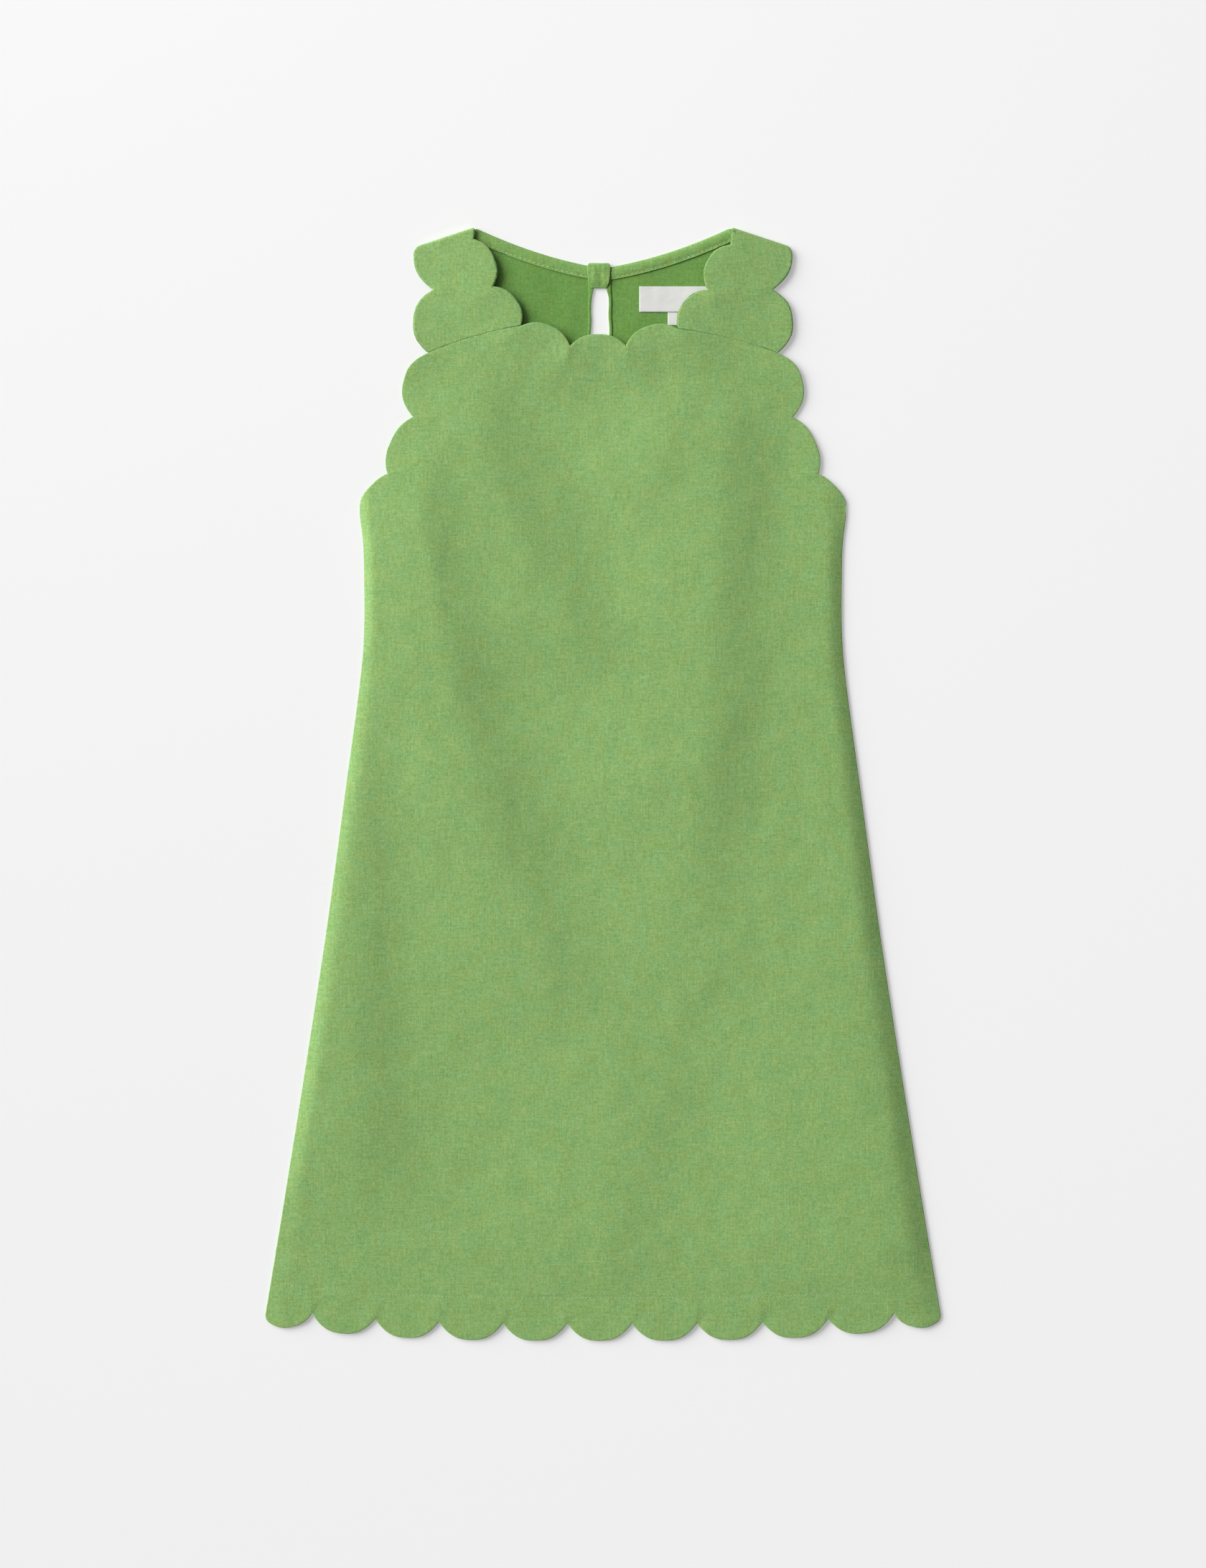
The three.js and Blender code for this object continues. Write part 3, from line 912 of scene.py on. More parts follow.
def crumple(x: np.ndarray, y: np.ndarray, size: float, seed: float) -> np.ndarray:
    """Smooth noise over the cloth.

    Args:
        x: The places' x.
        y: Their y.
        size: The size of its features.
        seed: Which noise it is.

    Returns:
        The noise, from about -1 to 1.
    """
    return np.array([noise.noise(Vector((a, b, seed))) for a, b in zip(x / size, y / size)]) * 1.6


def distance(x: np.ndarray, y: np.ndarray, line: Sequence[Vector]) -> np.ndarray:
    """The distance of each place to a line of straight steps."""
    nearest = np.full(x.shape, np.inf)
    for a, b in zip(line, line[1:]):
        way = b - a
        share = np.clip(((x - a.x) * way.x + (y - a.y) * way.y) / way.length_squared, 0, 1)
        nearest = np.minimum(nearest, np.hypot(x - a.x - way.x * share, y - a.y - way.y * share))
    return nearest


@dataclass(frozen=True)
class Lie:
    """How the dress lies: the heights of its layers, measured to the middle of their cloth.

    Attributes:
        cut: The dress's cut.
        back_rest: The height of the back where it lies flat.
        front_rest: The height of the front where nothing lifts it.
        flap_rest: The height of the shoulders turned over to the front.
        seam_lift: How far the front rises to the forward shoulder seams.
        side_roll: The width of the front's rounded side, at the underarm and at the hem.
        left_share: The width of the left side's roll, as a share of the right's.
        side_drop: How far the front comes down to the side seam.
        neck_rise: How far the neckline stands up, and over what distance.
        stitch_up: How far the hem's stitches are above its notches.
    """

    cut: DressCut
    back_rest: float = 0.6
    front_rest: float = 2.1
    flap_rest: float = 3.7
    seam_lift: float = 1.6
    side_roll: tuple[float, float] = (12.0, 22.0)
    left_share: float = 0.7
    side_drop: float = 0.5
    neck_rise: tuple[float, float] = (3.4, 40.0)
    stitch_up: float = 22.0

    def puckers(self) -> list[Crease]:
        """The small ridges and hollows where the cloth is pulled in at its notches."""
        made = []
        for i, notch in enumerate(self.cut.hem_notches()):
            slant = (8, -14, 12, -6, 16, -10, 4, 14, -8, 10)[i]
            high = (0.7, 0.9, 0.6, 1.0, 0.8, 0.65, 0.95, 0.7, 0.85, 0.6)[i]
            made.append(Crease(notch.x - slant / 9, notch.y + 7, 90 + slant, 8, 2.4, 0.24 * high))
            made.append(Crease(notch.x + 4.2, notch.y + 2.5, 52, 7, 2.6, -0.34 * high))
            made.append(Crease(notch.x - 3.5, notch.y + 4, 118, 6, 2.0, 0.14 * high))
        for i, (x, y, _) in enumerate(self.cut.neckline[1:-1]):
            turn = math.degrees(math.atan2(440 - y, -x))
            made.append(Crease(x - 5 * math.cos(math.radians(turn)), y - 6, turn, 9, 2.6, 0.5))
        for side in (1, -1):
            for i, (x, y, _) in enumerate(self.cut.armhole[1:-1]):
                high = 0.3 + 0.1 * ((i + side) % 3)
                made.append(Crease(side * (x - 7), y, 90 - side * (78 + 6 * i), 9, 2.6, high))
        return made

    def detail(self, x: np.ndarray, y: np.ndarray) -> np.ndarray:
        """What the front and the turned-over shoulders share: the neckline's rise, creases and seams.

        Args:
            x: The places' x.
            y: Their y.

        Returns:
            The height that this adds.
        """
        high, reach = self.neck_rise
        neck = self.cut.neck_edge(len(self.cut.neckline) - 1, 0)[::4]
        rise = high * np.exp(-((distance(x, y, neck) / reach) ** 2))
        for side in (1, -1):
            sink = 0.2 * smoothstep(side * x, 112, 152)
            rise -= sink * np.exp(-((distance(x, y, self.cut.seam(side, 0)) / 1.1) ** 2))
        for crease in (*FRONT_CREASES, *self.puckers()):
            rise += crease.height(x, y)
        u = x / self.cut.hem_half
        row = (y - self.cut.hem_line(u)[1] - self.stitch_up) / 1.7
        rise -= 0.16 * np.exp(-(row**2))
        return rise + 0.2 * crumple(x, y, 34, 1.5) + 0.13 * crumple(x, y, 15, 4.5)

    def folds(self, x: np.ndarray, y: np.ndarray) -> np.ndarray:
        """The height of the long folds."""
        return sum(fold.height(x, y) for fold in FOLDS)

    def front(self, x: np.ndarray, y: np.ndarray) -> Places:
        """Where the front's cloth lies.

        Args:
            x: The places' x on the flat cloth.
            y: Their y.

        Returns:
            Their x, y and z.
        """
        from_side = self.cut.half_width(y) - abs(x)
        up = smoothstep(y, 318, 362)
        lift = (0.5 + self.folds(x, y)) * (1 - up) + self.seam_lift * up
        high, low = self.side_roll
        wide = (high + (low - high) * np.clip((240 - y) / 680, 0, 1)) * np.where(x < 0, self.left_share, 1.0)
        roll = 1 - np.clip(from_side / wide, 0, 1)
        lift = np.maximum(lift + self.detail(x, y), 0.05) * (1 - roll**2)
        sewn = (1 - smoothstep(from_side, 0, 16)) * (1 - smoothstep(y, 238, 258))
        return x, y, self.front_rest + lift - self.side_drop * sewn

    def back(self, x: np.ndarray, y: np.ndarray) -> np.ndarray:
        """The height of the back, which lies flat but for the foot of each fold.

        Args:
            x: The places' x.
            y: Their y.

        Returns:
            The heights.
        """
        rise = 0.25 * self.folds(x, y) * (1 - smoothstep(y, 330, 370))
        rise += sum(crease.height(x, y) for crease in BACK_CREASES)
        rise += 0.12 + 0.12 * crumple(x, y, 30, 8.5) + 0.08 * crumple(x, y, 13, 2.5)
        fading = smoothstep(self.cut.half_width(y) - abs(x), 0, 14) * (1 - smoothstep(y, 440, 470))
        return self.back_rest + np.maximum(rise, 0) * fading


@dataclass(frozen=True)
class ShoulderFold:
    """The turn of the back over a shoulder, worked out on the right-hand side.

    Attributes:
        neck: The neck end of the fold.
        arm: Its armhole end.
        radius: The radius of the cloth's middle in the turn, seen from above.
        highs: The turn's height at its neck end and at its armhole end.
        inward: How far the turn's axis lies inside the fold.
        corner: The radius of the corner at its armhole end.
    """

    neck: Vector = field(default_factory=lambda: at(111, 480))
    arm: Vector = field(default_factory=lambda: at(163.1, 462.9))
    radius: float = 1.55
    highs: tuple[float, float] = (5.4, 2.9)
    inward: float = 2.15
    corner: float = 5.5

    @property
    def along(self) -> Vector:
        """The direction from the neck to the armhole."""
        return (self.arm - self.neck).normalized()

    @property
    def out(self) -> Vector:
        """The direction out of the fold."""
        return at(-self.along.y, self.along.x)

    @property
    def start(self) -> Vector:
        """The neck end of the turn's axis."""
        return self.neck - self.out * self.inward

    @property
    def girth(self) -> float:
        """The length of cloth that the turn takes up."""
        return math.pi * self.radius

    def beyond(self, point: Vector) -> float:
        """How far a place lies beyond the axis."""
        return (point - self.start).dot(self.out)

    def unfold(self, points: Sequence[Vector]) -> list[Vector]:
        """Where places on the turned-over cloth are on the flat pattern."""
        return [p + self.out * (self.girth - 2 * self.beyond(p)) for p in points]

    def rounded_end(self, edge: Sequence[Vector], way: int) -> list[Vector]:
        """Half of the fold's rounded end at the armhole, on the flat pattern.

        Args:
            edge: The armhole's edge, upwards, as it is without the rounding.
            way: -1 for the half below the crest, up to it, and 1 for the half past the crest, away from it.

        Returns:
            Its points.
        """
        near = [p for p in edge if abs(self.beyond(p)) < 14]
        seen_at = [self.beyond(p) for p in near]
        reached = [(p - self.start).dot(self.along) for p in near]
        turns = [math.pi / 2 - i * 0.14 for i in range(10)]
        made = []
        for turn in turns if way < 0 else reversed(turns):
            seen = self.radius - self.corner * (1 - math.cos(turn))
            off = self.radius * math.acos(seen / self.radius) if seen > 0 else self.girth / 2 - seen
            along = float(np.interp(seen, seen_at, reached)) - self.corner * (1 - math.sin(turn))
            made.append(self.start + self.along * along + self.out * (self.girth / 2 + way * off))
        return made

    def lay(self, x: np.ndarray, y: np.ndarray, lie: Lie) -> Places:
        """Where the back's cloth lies.

        Args:
            x: The places' x on the flat cloth.
            y: Their y.
            lie: How the dress lies.

        Returns:
            Their x, y and z.
        """
        side = np.sign(x)
        dx, dy = abs(x) - self.start.x, y - self.start.y
        beyond = dx * self.out.x + dy * self.out.y
        turn = np.clip(beyond / self.radius, 0, math.pi)
        past = np.maximum(beyond - self.girth, 0)
        shift = np.where(beyond > 0, self.radius * np.sin(turn) - past - beyond, 0)
        x = side * (abs(x) + self.out.x * shift)
        y = y + self.out.y * shift
        share = (dx * self.along.x + dy * self.along.y) / (self.arm - self.neck).length
        high = self.highs[0] + (self.highs[1] - self.highs[0]) * np.clip(share, 0, 1)
        full = smoothstep(past, 0, 45)
        high += (lie.flap_rest - lie.back_rest - high) * full
        height = high * (1 - np.cos(turn)) / 2 + lie.detail(x, y) * full
        low = lie.back(x, y)
        rise = (low - lie.back_rest) * (1 - smoothstep(beyond, -26, -4))
        return x, y, lie.back_rest + height + rise


# ---- the dress's pieces ----------------------------------------------------------------------


@dataclass(frozen=True)
class Finishes:
    """The materials of the dress."""

    linen: bpy.types.Material
    # inside: the cloth's wrong side, made darker and greener than the linen partly as painted shade
    inside: bpy.types.Material
    # binding: the same linen, made darker as painted shade for the shaded neck bindings and tab
    binding: bpy.types.Material
    satin: bpy.types.Material
    thread: bpy.types.Material


@dataclass
class Panel:
    """What the front and the back have in common.

    Attributes:
        cut: The dress's cut.
        lie: How the dress lies.
        piece: The cloth.
        shown: Its object, once it is built.
    """

    cut: DressCut
    lie: Lie
    piece: ClothPiece | None = None
    shown: bpy.types.Object | None = None

    def finish(self, name: str, inside: bpy.types.Material, outside: bpy.types.Material) -> None:
        """Args:
            name: The node that it replaces.
            inside: The finish of the side that is up on the flat pattern.
            outside: The finish of the other side and the edge.
        """
        for finish in (inside, outside):
            self.shown.data.materials.append(finish)
        wall = self.shown.modifiers["thickness"]
        wall.material_offset = 1
        wall.material_offset_rim = 1
        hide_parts(name)


@dataclass
class FrontPanel(Panel):
    """The front: one piece from the hem to the forward shoulder seams.

    Attributes:
        seam_over: How far it runs past the middle of each shoulder seam.
    """

    seam_over: float = 0.04

    def outline(self) -> list[Stretch]:
        """The front's outline."""
        cut = self.cut
        arm = cut.arm_edge(0, cut.arm_seam)[:-1]
        side = cut.side_edge(0)
        left, right = cut.neck_seams
        return [
            Stretch(cut.hem(0)),
            Stretch(side, Edge.SEWN),
            Stretch(arm),
            Stretch(cut.seam(1, self.seam_over), Edge.SEWN),
            Stretch(cut.neck_edge(right, left)[1:-1]),
            Stretch(cut.seam(-1, self.seam_over)[::-1], Edge.SEWN),
            Stretch(mirrored(arm)),
            Stretch(mirrored(side), Edge.SEWN),
        ]

    def build(self) -> None:
        """Cuts the front and lays it over its folds."""
        notches = [p.x for p in self.cut.hem_notches()]
        stops = [(-291.0, 3.0), *(s for x in notches for s in ((x - 7, 2.0), (x + 7, 4.2)))]
        columns = spaced(stops, 291.0)
        rows = spaced([(-482, 2.4), (-436, 4.8), (236, 2.8)], 410)
        self.piece = ClothPiece("front_panel", self.outline(), columns, rows)
        self.shown = self.piece.make(self.lie.front)

    def dress(self, finishes: Finishes) -> None:
        # The front's underside and edges take the inside linen, darker and greener partly as painted shade.
        self.finish("front", finishes.linen, finishes.inside)
        self.piece.flat()
        self.piece.area()


@dataclass
class BackPanel(Panel):
    """The back: one piece from the hem, over the shoulders, down to the forward shoulder seams.

    Attributes:
        fold: Its turn over a shoulder.
        inset: How far its edge lies inside the front's.
        seam_over: How far it runs past the middle of each shoulder seam.
    """

    fold: ShoulderFold = field(default_factory=ShoulderFold)
    inset: float = 0.6
    seam_over: float = 0.04

    def half(self, side: int) -> list[Stretch]:
        """One half of the outline, as on the right-hand side.

        Args:
            side: 1 for the right half, -1 for the left.

        Returns:
            Its stretches, from the hem corner to the shoulder's neck end.
        """
        cut, fold = self.cut, self.fold
        turned = fold.radius - fold.corner - 0.05
        under, over = cut.arm_edge(self.inset, 0), cut.arm_edge(0, 0)
        low = [p for p in under if fold.beyond(p) < turned]
        high = [p for p in over if fold.beyond(p) < turned and p.y > cut.armhole[cut.arm_seam][1] + 0.1]
        seam = [at(abs(p.x), p.y) for p in cut.seam(side, -self.seam_over)]
        left, right = cut.neck_seams
        neck = cut.neck_edge(len(cut.neckline) - 1, right) if side > 0 else mirrored(cut.neck_edge(left, 0))
        turns = [math.pi * i / 8 for i in range(9)]
        ways = [fold.out * fold.radius * (math.pi - a) + fold.along * 1.3 * math.sin(a) for a in turns]
        crest = [fold.start + way for way in ways]
        return [
            Stretch(cut.side_edge(self.inset), Edge.SEWN),
            Stretch([*low, *fold.rounded_end(under, -1)]),
            Stretch([*fold.rounded_end(over, 1), *fold.unfold(high[::-1])]),
            Stretch(fold.unfold(seam), Edge.SEWN),
            Stretch(fold.unfold(neck[-2::-1])),
            Stretch(crest),
        ]

    def outline(self) -> list[Stretch]:
        """The back's outline, with its shoulders unfolded."""
        cut = self.cut
        hole = cut.keyhole(0)
        reach = cut.neck_half - 3
        return [
            Stretch(cut.hem(self.inset)),
            *self.half(1),
            Stretch(cut.back_neck(reach, hole[0].x, 36)),
            Stretch(hole),
            Stretch(cut.back_neck(hole[-1].x, -reach, 36)),
            *(Stretch(mirrored(s.points), s.edge) for s in reversed(self.half(-1))),
        ]

    def build(self) -> None:
        """Cuts the back, with close lines across the shoulder turns, and lays it."""
        side = [(-291, 6), (-172, 3.4), (-14, 2.4)]
        columns = spaced([*side, (14, 3.4), (172, 6)], 291)
        rows = spaced([(-482, 3), (-436, 6.2), (330, 3)], 580)
        self.piece = ClothPiece("back_panel", self.outline(), columns, rows)
        out = self.fold.out
        start = self.fold.start.dot(out)
        places = [start + self.fold.girth * i / 8 for i in range(9)]
        for way in (1, -1):
            self.piece.turns.append((Vector((way * out.x, out.y, 0)), places))
        self.shown = self.piece.make(lambda x, y: self.fold.lay(x, y, self.lie))

    def dress(self, finishes: Finishes) -> None:
        # The back's inner face takes the inside linen, darker and greener partly as painted shade.
        self.finish("back", finishes.inside, finishes.linen)
        self.piece.flat()
        self.piece.area()


@dataclass
class StitchRow:
    """A row of short stitches along a line on the cloth.

    Attributes:
        name: The object's name.
        pitch: From one stitch to the next.
        long: A stitch's length.
        radius: The thread's radius.
        shown: The object, once built.
    """

    name: str
    pitch: float
    long: float
    radius: float
    shown: bpy.types.Object | None = None

    def build(self, lines: Sequence[Sequence[Vector]]) -> None:
        """Lays the stitches.

        Args:
            lines: The lines, in millimetres.
        """
        mesh = bmesh.new()
        for line in lines:
            wait = self.pitch / 2
            for a, b in zip(line, line[1:]):
                way = b - a
                while wait < way.length:
                    turn = way.to_track_quat("X", "Z").to_matrix().to_4x4()
                    sizes = Matrix.Diagonal((self.long / 2, self.radius, self.radius, 1))
                    place = Matrix.Translation(a.lerp(b, wait / way.length)) @ turn @ sizes
                    bmesh.ops.create_icosphere(mesh, subdivisions=1, radius=1, matrix=place)
                    wait += self.pitch
                wait -= way.length
        for face in mesh.faces:
            face.smooth = True
        bmesh.ops.scale(mesh, vec=(MM, MM, MM), verts=mesh.verts)
        self.shown = sewn_object(self.name, mesh)

    def dress(self, finish: bpy.types.Material, slot: str = "linen") -> None:
        """Gives the thread its finish."""
        self.shown.data.materials.append(finish)


@dataclass
class NeckTrims:
    """The turned-in bindings along the back neck and round the keyhole.

    Attributes:
        cut: The dress's cut.
        lie: How the dress lies.
        width: The width of a neck binding.
        inset: How far its edge lies below the neck's.
        end: The x of its end at the shoulder.
        rim: The width of the keyhole's binding.
        thick: The thickness of a binding.
        stitch_up: How far its stitches are above its lower edge.
        pieces: The bindings' cloth pieces, by name.
        shown: Their objects, once built.
        stitches: The row along the neck's bindings.
    """

    cut: DressCut
    lie: Lie
    width: float = 10.5
    inset: float = 0.4
    end: float = 109.4
    rim: float = 2.4
    thick: float = 0.8
    stitch_up: float = 1.8
    pieces: dict[str, ClothPiece] = field(default_factory=dict)
    shown: dict[str, bpy.types.Object] = field(default_factory=dict)
    stitches: StitchRow = field(default_factory=lambda: StitchRow("binding_stitches", 4.2, 2.3, 0.36))

    def below(self, side: int, down: float) -> list[Vector]:
        """A line along one half of the back neck.

        Args:
            side: 1 for the right half, -1 for the left.
            down: How far it lies below the neck's edge.

        Returns:
            Its points, from the keyhole to the shoulder.
        """
        start = self.cut.hole_x + side * (self.cut.hole_top / 2 + self.rim + 0.3)
        neck = self.cut.back_neck(start, side * self.end, 34)
        line = []
        for i, p in enumerate(neck):
            way = (neck[min(i + 1, len(neck) - 1)] - neck[max(i - 1, 0)]).normalized()
            across = at(side * way.y, -side * way.x) if i else at(0, -1)
            line.append(p + across * (self.inset + down))
        return line

    def lay(self, x: np.ndarray, y: np.ndarray) -> Places:
        """Where a neck binding lies: on the back, rounded over at the neck's edge.

        Args:
            x: The places' x on the flat cloth.
            y: Their y.

        Returns:
            Their x, y and z.
        """
        down = (self.cut.back_neck_height(x) - y) / math.hypot(1, 0.42)
        puff = 0.55 * np.sin(np.clip(down / (self.width - self.stitch_up), 0, 1) * math.pi) ** 0.6
        sink = 0.3 * np.exp(-(((down - self.width + self.stitch_up) / 0.8) ** 2))
        edge = 0.55 * (1 - smoothstep(down, 0.2, 2.2))
        z = self.lie.back(x, y) + 1.1 + puff - sink - edge + 0.1 * crumple(x, y, 5, 6.5)
        return x, y, z

    def build(self) -> None:
        """Cuts and lays the bindings, and sews the neck bindings down."""
        lines = []
        for side, name in ((-1, "left"), (1, "right")):
            edge, lower = self.below(side, 0), self.below(side, self.width)
            outline = [Stretch(lower, Edge.SEWN), Stretch(edge[::-1])]
            if side < 0:
                outline = [Stretch(edge), Stretch(lower[::-1], Edge.SEWN)]
            columns = spaced([(-self.end, 1.5)], self.end)
            rows = spaced([(430, 1.3)], 482)
            piece = ClothPiece(f"neck_binding_{name}_cloth", outline, columns, rows, self.thick, TRIM_RINGS)
            self.pieces[name] = piece
            self.shown[name] = piece.make(self.lay)
            sewn = self.below(side, self.width - self.stitch_up)
            x, y, z = self.lay(np.array([p.x for p in sewn]), np.array([p.y for p in sewn]))
            lines.append([Vector(p) for p in zip(x, y, z + self.thick / 2)])
        self.build_rim()
        self.stitches.build(lines)

    def build_rim(self) -> None:
        """Cuts and lays the keyhole's binding, rounded from edge to edge."""
        outer, inner = self.cut.keyhole(self.rim), self.cut.keyhole(-0.2)
        for line in (outer, inner):
            line[0] = line[0] - at(0, self.inset)
            line[-1] = line[-1] - at(0, self.inset)
        for p in inner:
            p.x += (self.cut.hole_x - p.x) * 0.4 * max(0.0, min(1.0, (p.y - 421.5) / 7)) ** 2
        outline = [Stretch([*inner, *outer[::-1]])]
        rows = spaced([(355, 1.5)], 450)
        middle = self.cut.keyhole(self.rim / 2)
        piece = ClothPiece("keyhole_binding_cloth", outline, [self.cut.hole_x], rows, self.thick, TRIM_RINGS)

        def lay(x: np.ndarray, y: np.ndarray) -> Places:
            """Lays the binding, highest along its middle."""
            off = distance(x, y, middle) / (self.rim / 2 + 0.1)
            crown = np.sqrt(np.clip(1 - off**2, 0, 1))
            return x, y, self.lie.back(x, y) + 0.68 + 0.16 * crown + 0.08 * crumple(x, y, 6, 3.5)

        self.pieces["keyhole"] = piece
        self.shown["keyhole"] = piece.make(lay)

    def dress(self, finishes: Finishes) -> None:
        for name, shown in self.shown.items():
            # The keyhole binding takes the inside linen and the neck bindings the binding linen; both are
            # darker than the linen partly as painted shade.
            shown.data.materials.append(finishes.inside if name == "keyhole" else finishes.binding)
            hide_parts("keyhole_binding" if name == "keyhole" else f"neck_binding_{name}")
        self.stitches.dress(finishes.thread, "linen_inside")
        for name in ("left", "right"):
            piece = self.pieces[name]
            strip = (self.width * MM, piece.area() / (self.width * MM))


@dataclass
class NeckTab:
    """The tab that closes the keyhole: a strip sewn into a loop round the neck's edge.

    Attributes:
        cut: The dress's cut.
        middle: Its middle across.
        foot: Its lower end.
        head: Its upper end, past the neck's edge.
        low: The height of its under run.
        high: The height of its upper run.
        widths: Its width under the neck, at its foot and at its head.
        thick: Its thickness.
        piece: Its cloth piece, once cut.
        shown: Its object, once built.
    """

    cut: DressCut
    middle: float = -3.55
    foot: float = 427.3
    head: float = 449.2
    low: float = 0.55
    high: float = 3.05
    widths: tuple[float, float, float] = (12.8, 16.2, 20.4)
    thick: float = 0.9
    piece: ClothPiece | None = None
    shown: bpy.types.Object | None = None

    @property
    def radius(self) -> float:
        """The radius of its two turns."""
        return (self.high - self.low) / 2

    @property
    def run(self) -> float:
        """The length of its straight runs."""
        return self.head - self.foot - 2 * self.radius - self.thick

    @property
    def length(self) -> float:
        """The length of the strip."""
        return 2 * self.run + 2 * math.pi * self.radius

    def half_width(self, v: float) -> float:
        """Half the strip's width at a place along it."""
        under, foot, head = self.widths
        turn = math.pi * self.radius
        low = self.run / 2 + turn
        high = low + self.run
        stops = [self.run / 2, low - turn * 0.4, low, low + 1.5, low + 4, low + 9]
        stops += [high - 2.5, high, high + turn * 0.4, high + turn]
        widths = [under, foot - 3, foot - 1.4, foot, foot + 2, head - 1.2]
        widths += [head, head - 1.4, head - 3.4, under]
        return float(np.interp(v, stops, widths)) / 2

    def lay(self, x: np.ndarray, y: np.ndarray) -> Places:
        """Where the strip lies. It starts under the neck, and goes round its foot first.

        Args:
            x: The places' x on the flat strip.
            y: Their y, along the strip.

        Returns:
            Their x, y and z.
        """
        r, run = self.radius, self.run
        turn = math.pi * r
        near, far = self.foot + self.thick / 2 + r, self.head - self.thick / 2 - r
        centre = (near + far) / 2
        stops = [run / 2, run / 2 + turn, run * 1.5 + turn, run * 1.5 + 2 * turn]
        first = np.clip((y - stops[0]) / r, 0, math.pi)
        last = np.clip((y - stops[2]) / r, 0, math.pi)
        straight = np.clip(y - stops[1], 0, run) - np.clip(y, 0, stops[0]) - np.maximum(y - stops[3], 0)
        placed_y = centre + straight - r * np.sin(first) + r * np.sin(last)
        placed_z = self.low + r * (1 - np.cos(first)) - r * (1 - np.cos(last))
        on_top = smoothstep(y, stops[1] - 1, stops[1] + 3) * (1 - smoothstep(y, stops[2] - 3, stops[2] + 1))
        gathers = 0.3 * crumple(x, y * 0.22, 3.4, 7.5) + 0.12 * crumple(x, y * 0.4, 1.7, 2.5)
        crown = 0.5 * (1 - (x / 10.5) ** 2)
        fading = 1 - smoothstep(y, stops[1] - 2, stops[1] + 7)
        droop = 0.9 * fading * smoothstep(y, stops[0] + turn / 2, stops[1])
        return self.middle + x, placed_y, placed_z + on_top * (gathers + crown) - droop

    def build(self) -> None:
        """Cuts the strip and lays it."""
        places = [self.length * i / 60 for i in range(61)]
        right = [at(self.half_width(v), v) for v in places]
        outline = [Stretch(right), Stretch([at(-p.x, p.y) for p in reversed(right)])]
        columns = spaced([(-10.3, 0.8)], 10.3)
        rows = spaced([(0, 0.6)], self.length)
        self.piece = ClothPiece("neck_tab_cloth", outline, columns, rows, self.thick, TRIM_RINGS)
        self.shown = self.piece.make(self.lay)

    def dress(self, finishes: Finishes) -> None:
        # The tab takes the binding linen, darker than the linen as painted shade.
        self.shown.data.materials.append(finishes.binding)
        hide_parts("neck_tab")
        self.piece.flat()
        self.piece.area()


@dataclass
class Labels:
    """The bare label and the bare tag below it, sewn inside the back neck.

    Attributes:
        lie: How the dress lies.
        label: The label's left, foot, right and head.
        tag: The tag's, in the same way.
        thick: Their thickness.
        pieces: Their cloth pieces, by name.
        shown: Their objects, once built.
    """

    lie: Lie
    label: tuple[float, float, float, float] = (31.3, 407.0, 96.3, 429.0)
    tag: tuple[float, float, float, float] = (55.9, 395.6, 71.6, 409.0)
    thick: float = 0.4
    pieces: dict[str, ClothPiece] = field(default_factory=dict)
    shown: dict[str, bpy.types.Object] = field(default_factory=dict)

    def build(self) -> None:
        """Cuts and lays the two."""
        made = (("label", self.label, 0.95), ("size_tag", self.tag, 0.5))
        for name, (left, foot, right, head), above in made:
            corners = [at(left, foot), at(right, foot), at(right, head), at(left, head)]
            sides = zip(corners, [*corners[1:], corners[0]])
            outline = [a.lerp(b, i / 12) for a, b in sides for i in range(12)]
            columns, rows = spaced([(left, 1.6)], right)[1:], spaced([(foot, 1.2)], head)[1:]
            piece = ClothPiece(f"{name}_cloth", [Stretch(outline)], columns, rows, self.thick, TRIM_RINGS)

            def lay(x: np.ndarray, y: np.ndarray, above: float = above, foot: float = foot) -> Places:
                """Lays it on the back, with its lower edge a little raised."""
                curl = 0.2 * (1 - smoothstep(y, foot, foot + 9))
                return x, y, self.lie.back(x, y) + above + curl + 0.1 * crumple(x, y, 12, 9.5)

            self.pieces[name] = piece
            self.shown[name] = piece.make(lay)

    def dress(self, finishes: Finishes) -> None:
        for name, shown in self.shown.items():
            shown.data.materials.append(finishes.satin)
            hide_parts(name)
            self.pieces[name].flat()
            self.pieces[name].area()


@dataclass
class HemStitches:
    """The rows of stitches that hold the hem's facings, on the front and under the back.

    Attributes:
        cut: The dress's cut.
        lie: How the dress lies.
        rows: The two rows.
    """

    cut: DressCut
    lie: Lie
    rows: dict[str, StitchRow] = field(
        default_factory=lambda: {
            name: StitchRow(f"hem_stitches_{name}", 3.1, 1.7, 0.26) for name in ("front", "back")
        }
    )

    def build(self) -> None:
        """Lays the rows, a little sunk into the cloth."""
        u = np.linspace(-1.1, 1.1, 240)
        x, y = self.cut.hem_line(u)
        y = y + self.lie.stitch_up
        front = self.lie.front(x, y)[2] + 0.46
        back = self.lie.back(x, y) - 0.36
        for name, z in (("front", front), ("back", back)):
            self.rows[name].build([[Vector(p) for p in zip(x, y, z)]])

    def dress(self, finishes: Finishes) -> None:
        """Gives the thread its finish."""
        for row in self.rows.values():
            row.dress(finishes.thread)


# ---- the studio ------------------------------------------------------------------------------


class LampKind(Enum):
    """What a studio lamp is."""

    FAR = "SUN"
    SOFTBOX = "AREA"


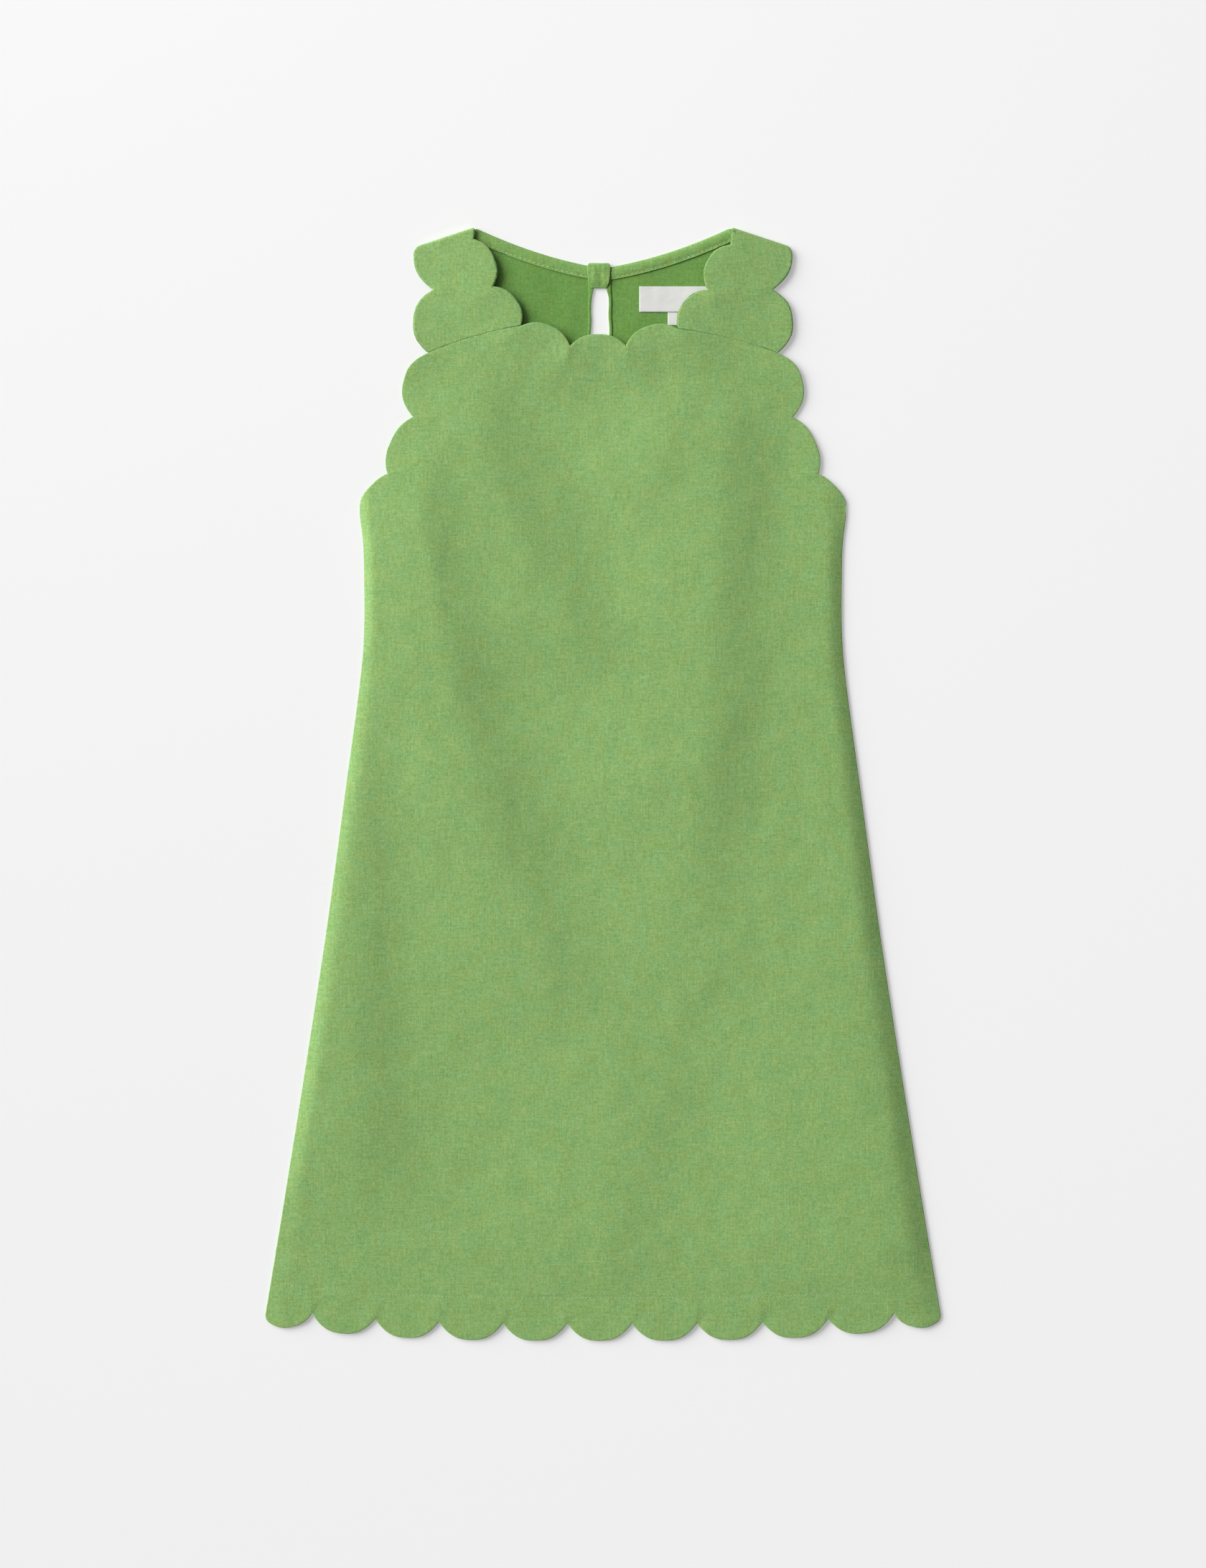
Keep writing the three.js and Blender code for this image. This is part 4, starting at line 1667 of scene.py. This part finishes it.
@dataclass(frozen=True)
class Lamp:
    """A studio lamp.

    Attributes:
        name: Its name.
        kind: What it is.
        place: Where it hangs, in metres.
        power: Its power, or the strength of a far one.
        spread: The side of a softbox in metres, or the angle of a far lamp in radians.
    """

    name: str
    kind: LampKind
    place: tuple[float, float, float]
    power: float
    spread: float

    def build(self) -> None:
        """Hangs the lamp, turned to the middle of the floor."""
        data = bpy.data.lights.new(self.name, self.kind.value)
        setattr(data, "size" if self.kind is LampKind.SOFTBOX else "angle", self.spread)
        data.energy = self.power
        lamp = bpy.data.objects.new(self.name, data)
        lamp.location = self.place
        lamp.rotation_euler = (-Vector(self.place)).to_track_quat("-Z", "Y").to_euler()
        bpy.context.scene.collection.objects.link(lamp)


@dataclass(frozen=True)
class Studio:
    """The camera straight above the dress, the floor, and soft light from the upper left.

    Attributes:
        above: The camera's height.
        lens: Its focal length in millimetres.
        floor_half: Half the floor's side.
        glow: The strength of the light all round.
        lamps: The lamps.
    """

    above: float = 4.0
    lens: float = 106.46
    floor_half: float = 9.0
    glow: float = 0.14
    lamps: tuple[Lamp, ...] = (
        Lamp("key", LampKind.FAR, (-4.1, 1.8, 2.2), 4.7, 0.9),
        Lamp("fill", LampKind.SOFTBOX, (-0.8, 1.4, 1.3), 6.4, 1.3),
    )

    def build(self) -> None:
        """Sets up the camera, floor, lamps and the light all round."""
        scene = bpy.context.scene
        camera = bpy.data.objects.new("camera", bpy.data.cameras.new("camera"))
        camera.data.lens = self.lens
        camera.location = (0.0, 0.0, self.above)
        scene.collection.objects.link(camera)
        scene.camera = camera
        scene.view_settings.view_transform = "Standard"
        for lamp in self.lamps:
            lamp.build()
        mesh = bmesh.new()
        bmesh.ops.create_grid(mesh, x_segments=1, y_segments=1, size=self.floor_half)
        data = bpy.data.meshes.new("floor")
        mesh.to_mesh(data)
        mesh.free()
        floor = bpy.data.objects.new("floor", data)
        scene.collection.objects.link(floor)
        paper = FloorFinish("floor", (0.62, 0.62, 0.62), 0.55)
        floor.data.materials.append(paper.build())
        floor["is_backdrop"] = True
        world = bpy.data.worlds.new("studio")
        world.use_nodes = True
        background = world.node_tree.nodes["Background"]
        background.inputs["Color"].default_value = (1.0, 1.0, 1.0, 1.0)
        background.inputs["Strength"].default_value = self.glow
        scene.world = world


def main() -> None:
    """Builds the dress and the studio."""
    logging.basicConfig(level=logging.INFO, format="%(name)s: %(message)s")
    finishes = Finishes(
        linen=LinenFinish(
            "linen", (0.172, 0.34, 0.078), (0.378, 0.59, 0.23), (0.232, 0.46, 0.165), (0.312, 0.465, 0.132)
        ).build(),
        # The inside linen is the cloth's wrong side, made darker and greener than the outer linen as painted
        # shade for the shaded inner face of the back and the front's underside.
        inside=LinenFinish(
            "linen_inside",
            (0.105, 0.255, 0.04), (0.215, 0.42, 0.11),
            (0.143, 0.335, 0.078), (0.182, 0.34, 0.064),
        ).build(),
        # The binding linen is a darker copy of the linen: painted shade for the neck bindings and the tab,
        # which lie in the flaps' shade.
        binding=LinenFinish(
            "linen_binding_shaded",
            (0.15, 0.31, 0.062), (0.31, 0.53, 0.175),
            (0.20, 0.42, 0.132), (0.265, 0.43, 0.09),
        ).build(),
        satin=SatinFinish("satin", (0.70, 0.70, 0.67), (0.86, 0.86, 0.83)).build(),
        thread=ThreadFinish("thread", (0.34, 0.52, 0.22), (0.62, 0.74, 0.50)).build(),
    )
    cut = DressCut()
    lie = Lie(cut)
    for part in (
        BackPanel(cut, lie),
        FrontPanel(cut, lie),
        NeckTrims(cut, lie),
        NeckTab(cut),
        Labels(lie),
        HemStitches(cut, lie),
    ):
        part.build()
        part.dress(finishes)
        LOG.info("made %s", type(part).__name__)
    Studio().build()
    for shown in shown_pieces():
        LOG.info("piece %s", shown.name)


if __name__ == "__main__":
    main()
